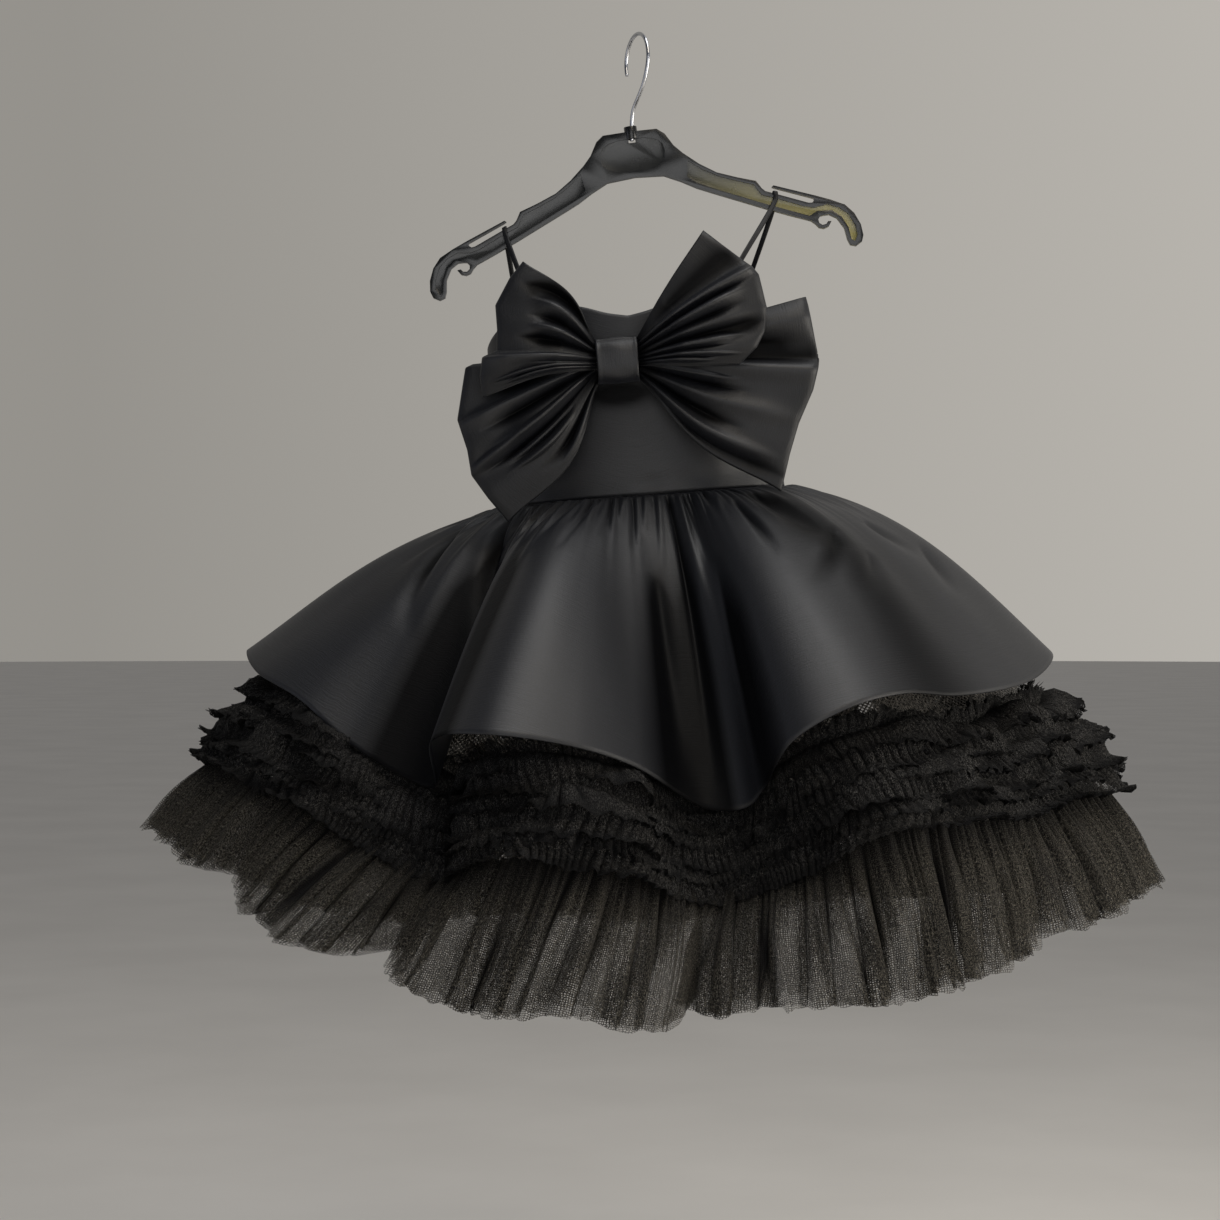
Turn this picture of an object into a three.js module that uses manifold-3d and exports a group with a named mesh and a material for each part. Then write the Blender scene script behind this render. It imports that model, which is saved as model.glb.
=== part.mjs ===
// A child's black satin pageant dress, hung by its straps on a moulded hanger.
// Millimetres, +Z up. The dress faces -Y, and left and right are as seen from the front: left is -X.
// The origin is the inside top of the hanger's hook, where it rests on its rail.

import * as THREE from 'three';
import { mergeVertices } from 'three/addons/utils/BufferGeometryUtils.js';
import Module from 'manifold-3d';

const wasm = await Module();
wasm.setup();

const { clamp, degToRad, lerp } = THREE.MathUtils;

// ---------------------------------------------------------------- driving sizes

const seamGap = 0.55;
const wall = { satin: 1.2, bodice: 1.4, net: 1.0, tulle: 1.2, tape: 1.0 };

// The dress hangs a little askew. Its own frame has its origin at the middle of the waist seam.
const dressHang = { x: 3, z: -342, tilt: 4.4 };
const waist = { halfWidth: 106, halfDepth: 58 };

// Half sizes of the bodice at each height over the waist seam.
const bodiceSections = [
  { height: 0, halfWidth: 106, halfDepth: 58 },
  { height: 45, halfWidth: 103, halfDepth: 60 },
  { height: 95, halfWidth: 105, halfDepth: 64 },
  { height: 145, halfWidth: 103, halfDepth: 64 },
];

// Height of the bodice's top edge over the waist seam, from the centre front (0) to the centre back (180).
const neckline = [
  { turn: 0, height: 128 },
  { turn: 8, height: 131 },
  { turn: 18, height: 137 },
  { turn: 43, height: 141 },
  { turn: 62, height: 131 },
  { turn: 90, height: 117 },
  { turn: 129, height: 124 },
  { turn: 155, height: 121 },
  { turn: 180, height: 118 },
];

// The overskirt's hem: one row for each fold edge or hollow. turn goes round from the centre front towards
// the right, reach is the distance out from the dress's axis, drop is the depth under the waist seam, waist
// is where that fold starts at the waist seam, and crown is how far the satin bows out above a straight line.
const overskirtFolds = [
  { turn: -88, reach: 296, drop: 90, waist: -88, crown: 10 },
  { turn: -75, reach: 293, drop: 106, waist: -75, crown: 10 },
  { turn: -66, reach: 273, drop: 127, waist: -66, crown: 12 },
  { turn: -59, reach: 251, drop: 160, waist: -58, crown: 12 },
  { turn: -46.5, reach: 221, drop: 192, waist: -47, crown: 12 },
  { turn: -37.5, reach: 252, drop: 158, waist: -39, crown: 16 },
  { turn: -26.5, reach: 263, drop: 155, waist: -28, crown: 20 },
  { turn: -15, reach: 233, drop: 168, waist: -17, crown: 18 },
  { turn: -5.4, reach: 201, drop: 187, waist: -7, crown: 14 },
  { turn: 3, reach: 182, drop: 209, waist: 1.5, crown: 12 },
  { turn: 9, reach: 178, drop: 220, waist: 7, crown: 12 },
  { turn: 16, reach: 188, drop: 220, waist: 13, crown: 12 },
  { turn: 18, reach: 203, drop: 208, waist: 17, crown: 14 },
  { turn: 20, reach: 243, drop: 175, waist: 23, crown: 18 },
  { turn: 28, reach: 256, drop: 157, waist: 30, crown: 22 },
  { turn: 38, reach: 260, drop: 151, waist: 38, crown: 24 },
  { turn: 48, reach: 268, drop: 156, waist: 48, crown: 24 },
  { turn: 69, reach: 280, drop: 153, waist: 68, crown: 22 },
  { turn: 86, reach: 292, drop: 138, waist: 86, crown: 21 },
  { turn: 99, reach: 284, drop: 130, waist: 99, crown: 22 },
  { turn: 112, reach: 262, drop: 152, waist: 111, crown: 20 },
  { turn: 124, reach: 226, drop: 186, waist: 123, crown: 12 },
  { turn: 134, reach: 241, drop: 170, waist: 133, crown: 16 },
  { turn: 146, reach: 262, drop: 152, waist: 145, crown: 20 },
  { turn: 160, reach: 256, drop: 155, waist: 159, crown: 20 },
  { turn: 171, reach: 224, drop: 182, waist: 171, crown: 14 },
  { turn: 180, reach: 197, drop: 208, waist: 180, crown: 12 },
  { turn: 188, reach: 216, drop: 190, waist: 188, crown: 14 },
  { turn: 200, reach: 252, drop: 157, waist: 200, crown: 20 },
  { turn: 215, reach: 262, drop: 150, waist: 214, crown: 20 },
  { turn: 227, reach: 242, drop: 170, waist: 226, crown: 14 },
  { turn: 238, reach: 215, drop: 194, waist: 237, crown: 12 },
  { turn: 246, reach: 238, drop: 166, waist: 246, crown: 12 },
  { turn: 258, reach: 276, drop: 122, waist: 258, crown: 12 },
];

// The petticoat: one row for each swell or hollow. reach and drop are at the net's lower edge, where the long
// ruffle is gathered on, and hemReach and hemDrop at that ruffle's hem.
const petticoatSwells = [
  { turn: -88, reach: 325, drop: 170, crown: 14, hemReach: 379, hemDrop: 215 },
  { turn: -66, reach: 287, drop: 191, crown: 14, hemReach: 343, hemDrop: 252 },
  { turn: -55, reach: 250, drop: 225, crown: 4, hemReach: 333, hemDrop: 282 },
  { turn: -44, reach: 226, drop: 250, crown: 2, hemReach: 306, hemDrop: 304 },
  { turn: -30, reach: 236, drop: 241, crown: 14, hemReach: 281, hemDrop: 335 },
  { turn: -16.5, reach: 235, drop: 243, crown: 16, hemReach: 271, hemDrop: 341 },
  { turn: -5, reach: 200, drop: 262, crown: 6, hemReach: 264, hemDrop: 354 },
  { turn: 9, reach: 176, drop: 276, crown: 2, hemReach: 241, hemDrop: 349 },
  { turn: 17, reach: 186, drop: 270, crown: 2, hemReach: 259, hemDrop: 347 },
  { turn: 25, reach: 222, drop: 258, crown: 6, hemReach: 272, hemDrop: 350 },
  { turn: 33, reach: 251, drop: 243, crown: 14, hemReach: 279, hemDrop: 352 },
  { turn: 43, reach: 261, drop: 240, crown: 18, hemReach: 286, hemDrop: 344 },
  { turn: 56, reach: 265, drop: 245, crown: 16, hemReach: 299, hemDrop: 334 },
  { turn: 72, reach: 283, drop: 240, crown: 20, hemReach: 326, hemDrop: 319 },
  { turn: 88, reach: 321, drop: 243, crown: 22, hemReach: 356, hemDrop: 314 },
  { turn: 101, reach: 308, drop: 238, crown: 20, hemReach: 352, hemDrop: 320 },
  { turn: 114, reach: 276, drop: 236, crown: 14, hemReach: 331, hemDrop: 328 },
  { turn: 126, reach: 238, drop: 252, crown: 2, hemReach: 300, hemDrop: 336 },
  { turn: 139, reach: 250, drop: 240, crown: 12, hemReach: 289, hemDrop: 337 },
  { turn: 152, reach: 252, drop: 238, crown: 16, hemReach: 283, hemDrop: 338 },
  { turn: 166, reach: 226, drop: 250, crown: 8, hemReach: 273, hemDrop: 343 },
  { turn: 180, reach: 192, drop: 267, crown: 2, hemReach: 259, hemDrop: 347 },
  { turn: 193, reach: 232, drop: 245, crown: 10, hemReach: 271, hemDrop: 341 },
  { turn: 206, reach: 252, drop: 236, crown: 16, hemReach: 283, hemDrop: 333 },
  { turn: 220, reach: 250, drop: 233, crown: 12, hemReach: 293, hemDrop: 325 },
  { turn: 236, reach: 216, drop: 252, crown: 2, hemReach: 298, hemDrop: 318 },
  { turn: 247, reach: 258, drop: 222, crown: 10, hemReach: 320, hemDrop: 294 },
  { turn: 260, reach: 300, drop: 190, crown: 14, hemReach: 352, hemDrop: 250 },
];

// The short ruffles on the net. from and to are places down the net, 0 at the waist and 1 at its lower edge.
// In the skirt's hollows, where crown is small, a ruffle lies closer to the net.
const shortRuffles = [
  { name: 'ruffle_1', waves: 28, from: 0.745, to: 0.87, flare: 18 },
  { name: 'ruffle_2', waves: 32, from: 0.83, to: 0.955, flare: 15 },
  { name: 'ruffle_3', waves: 32, from: 0.92, to: 1.03, flare: 12 },
];
const ruffleStandOff = 4.6;
const ruffleWaveDepth = 9;
const hemRuffle = { waves: 72, topDepth: 3, hemDepth: 15, seam: 1 };

// The overskirt's gathers swell to their full depth just under the seam and die out about half way down.
const overskirt = {
  columns: 96,
  levels: [0, 0.07, 0.17, 0.32, 0.53, 0.77, 1],
  gathers: 24,
  gatherDepth: 2.2,
  gatherFull: 0.07,
  gatherEnd: 0.53,
};
const netBase = { columns: 64, levels: [0, 0.2, 0.45, 0.72, 0.9, 1], inset: 3.4 };

// The bow: each loop fans out from the knot in rows, one for each pleat line. x and z are where the row ends
// at the loop's outer fold, arch is how far the row bows sideways, and lift how far it stands forward.
const knot = {
  x: -10.5, y: -81, z: 95, width: 29, halfHeight: 15, halfDepth: 13.5, swell: 0.09, squareness: 0.8, columns: 16,
};
const bowLoops = [
  {
    name: 'bow_upper_left', rootX: -24, rootTop: 103, rootBottom: 96, rootY: -83, outY: -100, puff: 6,
    rows: [
      { x: -71, z: 167, arch: 8.5, lift: 2 },
      { x: -80, z: 156, arch: 7, lift: 7 },
      { x: -90, z: 138, arch: 5, lift: 2 },
      { x: -91, z: 122, arch: 3, lift: 8 },
      { x: -97, z: 108, arch: 1, lift: 3 },
      { x: -105, z: 92, arch: 2, lift: 7 },
      { x: -106, z: 75, arch: 4.3, lift: 1 },
    ],
  },
  {
    name: 'bow_upper_right', rootX: 3, rootTop: 103, rootBottom: 96, rootY: -83, outY: -100, puff: 6,
    rows: [
      { x: 56, z: 179, arch: -1, lift: 2 },
      { x: 71, z: 165, arch: 0, lift: 7 },
      { x: 87, z: 150, arch: 0, lift: 2 },
      { x: 96, z: 132, arch: 0, lift: 8 },
      { x: 97, z: 111, arch: 0, lift: 3 },
      { x: 87, z: 94, arch: 1, lift: 7 },
      { x: 77, z: 80, arch: 1, lift: 1 },
    ],
  },
  {
    name: 'bow_lower_left', rootX: -24, rootTop: 94, rootBottom: 87.5, rootY: -74, outY: -77, puff: 4.5,
    rows: [
      { x: -113, z: 100, arch: 2, lift: 0 },
      { x: -122, z: 80, arch: 1, lift: 4 },
      { x: -127, z: 57, arch: 0, lift: 0 },
      { x: -121, z: 40, arch: -3, lift: 5 },
      { x: -118, z: 22, arch: -6, lift: 1 },
      { x: -107, z: 5, arch: -10, lift: 4 },
      { x: -96, z: -13, arch: -14.5, lift: 0 },
    ],
  },
  {
    name: 'bow_lower_right', rootX: 3, rootTop: 94, rootBottom: 87.5, rootY: -74, outY: -77, puff: 4.5,
    rows: [
      { x: 126, z: 130, arch: -2, lift: 0 },
      { x: 129, z: 108, arch: 0, lift: 5 },
      { x: 132, z: 85, arch: 1, lift: 1 },
      { x: 127, z: 64, arch: 3, lift: 5 },
      { x: 114, z: 41, arch: 5, lift: 0 },
      { x: 106, z: 20, arch: 8, lift: 4 },
      { x: 98, z: -6, arch: 10.5, lift: 0 },
    ],
  },
];
// Places along a loop, from its root at the knot (0) to its outer fold (1). A loop leaves the knot's depth
// by comesForward, and its two layers are rootHalfGap apart either way at the root.
const loopStations = [0, 0.12, 0.3, 0.5, 0.7, 0.87, 0.965];
const loopShape = { rootHalfGap: 2, comesForward: 0.35, liftStart: 0.06, liftSpan: 0.72, archSharpness: 1.5 };

// Straps: each runs from inside the bodice's front, over the hanger's arm and down inside its back.
const strap = { width: 4, thickness: 1.5, sewnDown: 9, standsOver: 1.5, inset: 2.3, armClear: 0.65, armDown: 6 };
const strapEnds = [
  { name: 'strap_left', side: -1, frontTurn: -43, backTurn: -129 },
  { name: 'strap_right', side: 1, frontTurn: 43, backTurn: 129 },
];

// The hanger, in its own frame: across runs along the bar from its middle, up is square to it.
const hangerHang = { x: -3.35, z: -88.3, tilt: 7.5 };
const hangerThickness = 5.6;
const pocketDepth = 1.6;
const notchAcross = 101;
const notchUp = -42.3;
const notchSlotEnd = [124.4, -52.1];
const curl = { across: 133.6, up: -66.2, inner: 3.7, outer: 6.2 };
const armTop = [[0, 17.3], [20, 16.8], [25.5, 12.5], [31, 3], [37, -3.5], [48, -13], [60, -21], [75, -26.8], [88, -31]];
const strapNotch = [[91.5, -37], [94, -39.5], [notchAcross, notchUp], notchSlotEnd, [127.1, -52.4], [129, -50.8],
  [128.5, -49.1], [126.2, -48.2], [101, -38], [99, -37], [100.4, -36], [129.7, -47.3]];
const armEnd = [[140.6, -51.8], [151, -57], [157, -64], [160.8, -73], [161.6, -81], [160, -85.6], [155.5, -88.2],
  [151.2, -86.8], [149.6, -82.5], [148.4, -74], [144, -66], [138.5, -62.6]];
const armBottom = [[124.7, -65.5], [110, -59.6], [92, -52], [74.4, -44.1], [58, -36.8], [44, -30.4], [33, -24],
  [21, -18.2], [0, -16.6]];
const armPocket = [[40, -9.5], [50, -17.5], [62, -24.5], [76, -30], [86, -33.5], [91, -42], [102, -46], [121, -54.5],
  [128, -56.3], [138, -55], [146, -58.5], [152.5, -64], [156.5, -73], [157.5, -80], [155, -84.5], [152.5, -83],
  [151.5, -74], [147.5, -65.5], [141, -59.8], [130, -59], [124, -61.8], [110, -56], [92, -48.5], [75, -40.8],
  [58, -33.3], [45, -27], [38, -21.5]];
const centrePocket = { halfWidth: 24, halfHeight: 12, depth: 1.2, sides: 20, squareness: 0.75 };
const neck = { across: 1, outer: 4.8, inner: 3.1, top: 21, root: 12, bottom: 9, sides: 14 };

// The hook's wire, in a plane turned a little from side-on. forward is towards the viewer.
const hook = { wire: 1.6, innerRadius: 18, planeTurn: 24, backAngle: -115, frontAngle: 95, stemX: -3.9, sides: 8 };
const hookStem = [
  { forward: 18.4, z: -28, shift: 0.15 },
  { forward: 15, z: -38, shift: 0.4 },
  { forward: 8.5, z: -47, shift: 0.7 },
  { forward: 2.5, z: -54.5, shift: 0.95 },
  { forward: 0, z: -63, shift: 1 },
  { forward: 0, z: -78, shift: 1 },
];

// The centre-back zip's slider and its pull tab, in the dress's frame. The pin is the tab's hinge.
const zip = {
  tapeHalfTurn: 6, tapeTop: 116, tapeBottom: 2, tapeGap: 0.75, backGap: 1.0, sliderHeight: 108, standOff: 0.4,
};
const slider = {
  width: 6, height: 9, depth: 2.2, earWidth: 1.2, earGap: 2.6, earHeight: 4, earDepth: 3.9,
  pinOut: 2.4, pinUp: 2.2, pinRadius: 0.6,
};
const pull = {
  lugRadius: 1.9, holeRadius: 0.95, lugWidth: 1.8, width: 5.6, length: 21, thickness: 1.4, shoulder: 3.4,
};

// ---------------------------------------------------------------- materials

const satin = () => new THREE.MeshStandardMaterial({ color: '#1b1c20', roughness: 0.35 });
const tulle = () => new THREE.MeshStandardMaterial({ color: '#2a2725', roughness: 0.95 });
const net = () => new THREE.MeshStandardMaterial({ color: '#23211f', roughness: 0.9 });
const smokedPlastic = () => new THREE.MeshStandardMaterial({ color: '#26261f', roughness: 0.2 });
const steel = () => new THREE.MeshStandardMaterial({ color: '#c4c6c8', roughness: 0.2, metalness: 1 });
const tapeCloth = () => new THREE.MeshStandardMaterial({ color: '#15161a', roughness: 0.9 });
const blackMetal = () => new THREE.MeshStandardMaterial({ color: '#1a1a1c', roughness: 0.4, metalness: 0.6 });

// ---------------------------------------------------------------- cloth and solid helpers

const vector = (x, y, z) => new THREE.Vector3(x, y, z);

// A point at a turn round the dress's axis, by its distance out.
function polarPoint(turn, reach, z) {
  const angle = degToRad(turn);
  return vector(reach * Math.sin(angle), -reach * Math.cos(angle), z);
}

// A point at a turn round an oval ring.
function ovalPoint(turn, halfWidth, halfDepth, z) {
  const angle = degToRad(turn);
  return vector(halfWidth * Math.sin(angle), -halfDepth * Math.cos(angle), z);
}

function flipInsideOut(triangles) {
  for (let k = 0; k < triangles.length; k += 3) {
    [triangles[k + 1], triangles[k + 2]] = [triangles[k + 2], triangles[k + 1]];
  }
}

function signedVolume(points, triangles) {
  let volume = 0;
  for (let k = 0; k < triangles.length; k += 3) {
    const [a, b, c] = [points[triangles[k]], points[triangles[k + 1]], points[triangles[k + 2]]];
    volume += a.dot(b.clone().cross(c)) / 6;
  }
  return volume;
}

// Joins loops of equally many points into one closed body, capped at its ends unless it runs round to its start.
// A wall's loops go down its outer face and up its inner one, and both faces are split along the same diagonals.
function loft(loops, closed) {
  const size = loops[0].length;
  const points = loops.flat();
  const triangles = [];
  const at = (loop, k) => (loop % loops.length) * size + (k % size);
  const quad = (a, b, c, d) => triangles.push(a, b, c, a, c, d);
  const innerQuad = (a, b, c, d) => triangles.push(b, c, d, b, d, a);
  const spans = closed ? loops.length : loops.length - 1;
  for (let i = 0; i < spans; i += 1) {
    for (let k = 0; k < size; k += 1) {
      const split = k < size / 2 ? quad : innerQuad;
      split(at(i, k), at(i, k + 1), at(i + 1, k + 1), at(i + 1, k));
    }
  }
  if (!closed) {
    for (let k = 0; k < size / 2 - 1; k += 1) {
      const end = spans;
      quad(at(0, size - 1 - k), at(0, size - 2 - k), at(0, k + 1), at(0, k));
      quad(at(end, k), at(end, k + 1), at(end, size - 2 - k), at(end, size - 1 - k));
    }
  }
  if (signedVolume(points, triangles) < 0) flipInsideOut(triangles);
  const geometry = new THREE.BufferGeometry();
  geometry.setAttribute('position', new THREE.Float32BufferAttribute(points.flatMap((p) => p.toArray()), 3));
  geometry.setIndex(triangles);
  return geometry;
}

// For a grid of cloth points (columns round, rows down), the step from each to its wall's outer face. It is
// longer on a fold, so that the wall keeps its thickness on the fold's slopes.
function wallSteps(grid, thickness, ring) {
  const count = grid.length;
  const pointAt = (i, j) => (grid[ring ? (i + count) % count : i] ?? [])[j];
  return grid.map((column, i) => column.map((point, j) => {
    const faces = [];
    for (const [across, down] of [[1, 1], [1, -1], [-1, 1], [-1, -1]]) {
      const side = pointAt(i + across, j);
      const below = pointAt(i, j + down);
      if (!side || !below) continue;
      const sideStep = side.clone().sub(point).multiplyScalar(across);
      faces.push(below.clone().sub(point).multiplyScalar(down).cross(sideStep).normalize());
    }
    const normal = faces.reduce((sum, face) => sum.add(face), vector(0, 0, 0)).normalize();
    const facing = faces.reduce((sum, face) => sum + face.dot(normal), 0) / faces.length;
    return normal.multiplyScalar(thickness / 2 / Math.max(facing, 0.6));
  }));
}

// One closed wall loop: down the outer face and up the inner one, moved a little sideways at a seam.
function wallLoop(grid, steps, i, towards) {
  const column = i % grid.length;
  const next = (column + towards + grid.length) % grid.length;
  const places = grid[column].map((point, j) => {
    const shift = towards ? grid[next][j].clone().sub(point).setLength(seamGap / 2) : vector(0, 0, 0);
    return point.clone().add(shift);
  });
  const outer = places.map((point, j) => point.clone().add(steps[column][j]));
  const inner = places.map((point, j) => point.clone().sub(steps[column][j]));
  return [...outer, ...inner.reverse()];
}

function clothWall(grid, thickness, ring) {
  const steps = wallSteps(grid, thickness, ring);
  return loft(grid.map((_, i) => wallLoop(grid, steps, i, 0)), ring);
}

// A front and a back piece cut from one ring at its side seams.
function frontAndBack(grid, thickness, rightSeam) {
  const steps = wallSteps(grid, thickness, true);
  const piece = (from, to) => {
    const loops = [];
    for (let i = from; i <= to; i += 1) {
      const towards = i === from ? 1 : i === to ? -1 : 0;
      loops.push(wallLoop(grid, steps, i, towards));
    }
    return loft(loops, false);
  };
  return { front: piece(0, rightSeam), back: piece(rightSeam, grid.length) };
}

function outlineShape(points) {
  return new THREE.Shape(points.map(([x, y]) => new THREE.Vector2(x, y)));
}

// A flat plate: its outline is in the X-Z plane, and it runs from y = from to y = from + depth.
function uprightPlate(points, from, depth) {
  const geometry = new THREE.ExtrudeGeometry(outlineShape(points), { depth, bevelEnabled: false });
  return geometry.rotateX(Math.PI / 2).translate(0, from + depth, 0);
}

function toSolid(geometry) {
  const bare = geometry.clone();
  bare.deleteAttribute('normal');
  bare.deleteAttribute('uv');
  const merged = mergeVertices(bare, 1e-4);
  return new wasm.Manifold(new wasm.Mesh({
    numProp: 3,
    vertProperties: merged.attributes.position.array,
    triVerts: Uint32Array.from(merged.index.array),
  }));
}

function toGeometry(solid) {
  const mesh = solid.getMesh();
  const geometry = new THREE.BufferGeometry();
  geometry.setAttribute('position', new THREE.BufferAttribute(mesh.vertProperties, 3));
  geometry.setIndex(new THREE.BufferAttribute(mesh.triVerts, 1));
  return geometry;
}

const arcPoints = (across, up, radius, angles) => angles.map((angle) => [
  across + radius * Math.cos(degToRad(angle)),
  up + radius * Math.sin(degToRad(angle)),
]);

const circlePoints = (radius, sides) => arcPoints(0, 0, radius, [...Array(sides).keys()].map((k) => (k * 360) / sides));

function named(name, geometry, material) {
  const mesh = new THREE.Mesh(geometry, material);
  mesh.name = name;
  return mesh;
}

// ---------------------------------------------------------------- bodice

// Reads a table's column at a place, straight between its rows.
function readTable(rows, key, place, column) {
  const next = rows.findIndex((row) => row[key] >= place);
  if (next <= 0) return rows[Math.max(next, 0)][column];
  const [low, high] = [rows[next - 1], rows[next]];
  return lerp(low[column], high[column], (place - low[key]) / (high[key] - low[key]));
}

const topOfBodice = (turn) => readTable(neckline, 'turn', Math.abs(turn), 'height');

// A point on the bodice's cloth at a turn and height, moved in by inset.
function bodicePoint(turn, height, inset = 0) {
  const halfWidth = readTable(bodiceSections, 'height', height, 'halfWidth') - inset;
  const halfDepth = readTable(bodiceSections, 'height', height, 'halfDepth') - inset;
  return ovalPoint(turn, halfWidth, halfDepth, height);
}

function bodicePanel(fromTurn, toTurn, columns) {
  const levels = [1, 0.85, 0.68, 0.5, 0.33, 0.16, 0];
  const grid = [];
  for (let i = 0; i <= columns; i += 1) {
    const turn = lerp(fromTurn, toTurn, i / columns);
    grid.push(levels.map((level) => bodicePoint(turn, level * topOfBodice(turn))));
  }
  return clothWall(grid, wall.bodice, false);
}

function makeBodice() {
  const seamTurn = 90;
  const halfSeam = 0.3;
  const backSeam = 180 - ((zip.backGap / 2) / waist.halfWidth) * (180 / Math.PI);
  return [
    named('bodice_front', bodicePanel(-seamTurn + halfSeam, seamTurn - halfSeam, 20), satin()),
    named('bodice_back_right', bodicePanel(seamTurn + halfSeam, backSeam, 9), satin()),
    named('bodice_back_left', bodicePanel(-backSeam, -seamTurn - halfSeam, 9), satin()),
  ];
}

// ---------------------------------------------------------------- skirts

// Reads a fold table's column between its rows, round and round.
function readRing(rows, column, t) {
  const place = t * rows.length;
  const row = Math.floor(place) % rows.length;
  const low = rows[row][column];
  let high = rows[(row + 1) % rows.length][column];
  if (column === 'waist' && high < low) high += 360;
  return lerp(low, high, place - Math.floor(place));
}

// A skirt's surface, from the waist seam to its lower edge. t goes round it, and down is 0 to 1.
function makeSkirt(rows, inset, startDrop) {
  const edge = new THREE.CatmullRomCurve3(rows.map((row) => polarPoint(row.turn, row.reach, -row.drop)), true);
  edge.arcLengthDivisions = 1200;
  const frame = (t) => {
    const turn = readRing(rows, 'waist', t);
    const top = ovalPoint(turn, waist.halfWidth - inset, waist.halfDepth - inset, -startDrop);
    const bottom = edge.getPoint(t % 1);
    const fall = bottom.clone().sub(top);
    const run = Math.hypot(fall.x, fall.y);
    const outward = vector((fall.x / run) * -fall.z, (fall.y / run) * -fall.z, run).normalize();
    return { top, bottom, outward, crown: readRing(rows, 'crown', t) };
  };
  const point = (t, down) => {
    const { top, bottom, outward, crown } = frame(t);
    const bow = down < 1 ? crown * Math.sin(Math.PI * down ** 0.75) : 0;
    return top.lerp(bottom, down).addScaledVector(outward, bow);
  };
  const evenly = (count) => [...Array(count).keys()].map((i) => edge.getUtoTmapping(i / count));
  // The column nearest the right side seam.
  const rightSeam = (places) => {
    const gaps = places.map((t) => Math.abs(readRing(rows, 'waist', t) - 88));
    return gaps.indexOf(Math.min(...gaps));
  };
  return { frame, point, evenly, rightSeam };
}

function makeOverskirt(surface) {
  const places = surface.evenly(overskirt.columns);
  const gatherStep = (2 * Math.PI * overskirt.gathers) / overskirt.columns;
  const grid = places.map((t, i) => overskirt.levels.map((down) => {
    const fade = Math.min(down / overskirt.gatherFull, 1) * Math.max(0, 1 - down / overskirt.gatherEnd);
    const rise = overskirt.gatherDepth * Math.SQRT2 * Math.cos(gatherStep * i + Math.PI / 4) * fade;
    return surface.point(t, down).addScaledVector(surface.frame(t).outward, rise);
  }));
  const { front, back } = frontAndBack(grid, wall.satin, surface.rightSeam(places));
  return [named('overskirt_front', front, satin()), named('overskirt_back', back, satin())];
}

function makeNetBase(surface) {
  const places = surface.evenly(netBase.columns);
  const grid = places.map((t) => netBase.levels.map((down) => surface.point(t, down)));
  const { front, back } = frontAndBack(grid, wall.net, surface.rightSeam(places));
  return [named('net_base_front', front, net()), named('net_base_back', back, net())];
}

function makeShortRuffle(surface, ruffle) {
  const places = surface.evenly(ruffle.waves * 2);
  const grid = places.map((t, i) => [0, 0.5, 1].map((down) => {
    const { outward, crown } = surface.frame(t);
    const room = clamp(crown / 12, 0.5, 1);
    const depth = i % 2 ? ruffleWaveDepth * (0.15 + 0.85 * down) : 0;
    const out = ruffleStandOff + room * ((ruffle.flare - ruffleStandOff) * down + depth);
    return surface.point(t, lerp(ruffle.from, ruffle.to, down)).addScaledVector(outward, out);
  }));
  const { front, back } = frontAndBack(grid, wall.tulle, surface.rightSeam(places));
  return [named(`${ruffle.name}_front`, front, tulle()), named(`${ruffle.name}_back`, back, tulle())];
}

function makeHemRuffle(surface) {
  const hem = new THREE.CatmullRomCurve3(
    petticoatSwells.map((row) => polarPoint(row.turn, row.hemReach, -row.hemDrop)), true);
  const places = surface.evenly(hemRuffle.waves * 2);
  const grid = places.map((t, i) => {
    const top = surface.point(t, 1);
    const bottom = hem.getPoint(t);
    const { outward } = surface.frame(t);
    const start = top.clone().lerp(bottom, hemRuffle.seam / top.distanceTo(bottom));
    return [0, 0.45, 1].map((down) => {
      const depth = lerp(hemRuffle.topDepth, hemRuffle.hemDepth, down) * (i % 2 ? 0.5 : -0.5);
      return start.clone().lerp(bottom, down).addScaledVector(outward, depth);
    });
  });
  const { front, back } = frontAndBack(grid, wall.tulle, surface.rightSeam(places));
  return [named('hem_ruffle_front', front, tulle()), named('hem_ruffle_back', back, tulle())];
}

// ---------------------------------------------------------------- bow

function bowLoop(loop) {
  const outPath = loopStations.map((s) => ({ s, layer: -1 }));
  const stations = [...outPath, { s: 1, layer: 0 }, ...[...outPath].reverse().map(({ s }) => ({ s, layer: 1 }))];
  const grid = stations.map(({ s, layer }) => loop.rows.map((row, j) => {
    const rootZ = lerp(loop.rootTop, loop.rootBottom, j / (loop.rows.length - 1));
    const [runX, runZ] = [row.x - loop.rootX, row.z - rootZ];
    const length = Math.hypot(runX, runZ);
    const arch = row.arch * Math.sin(Math.PI * s) ** loopShape.archSharpness;
    const x = lerp(loop.rootX, row.x, s) + (runZ / length) * arch;
    const z = lerp(rootZ, row.z, s) - (runX / length) * arch;
    const forward = (loop.outY - loop.rootY) * Math.min(1, s / loopShape.comesForward);
    const lift = row.lift * Math.sin(Math.PI * (loopShape.liftStart + loopShape.liftSpan * s));
    const halfGap = layer * lerp(loopShape.rootHalfGap, loop.puff, Math.sin(Math.PI * s));
    return vector(x, loop.rootY + forward - lift + halfGap, z);
  }));
  return named(loop.name, clothWall(grid, wall.satin, false), satin());
}

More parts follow.
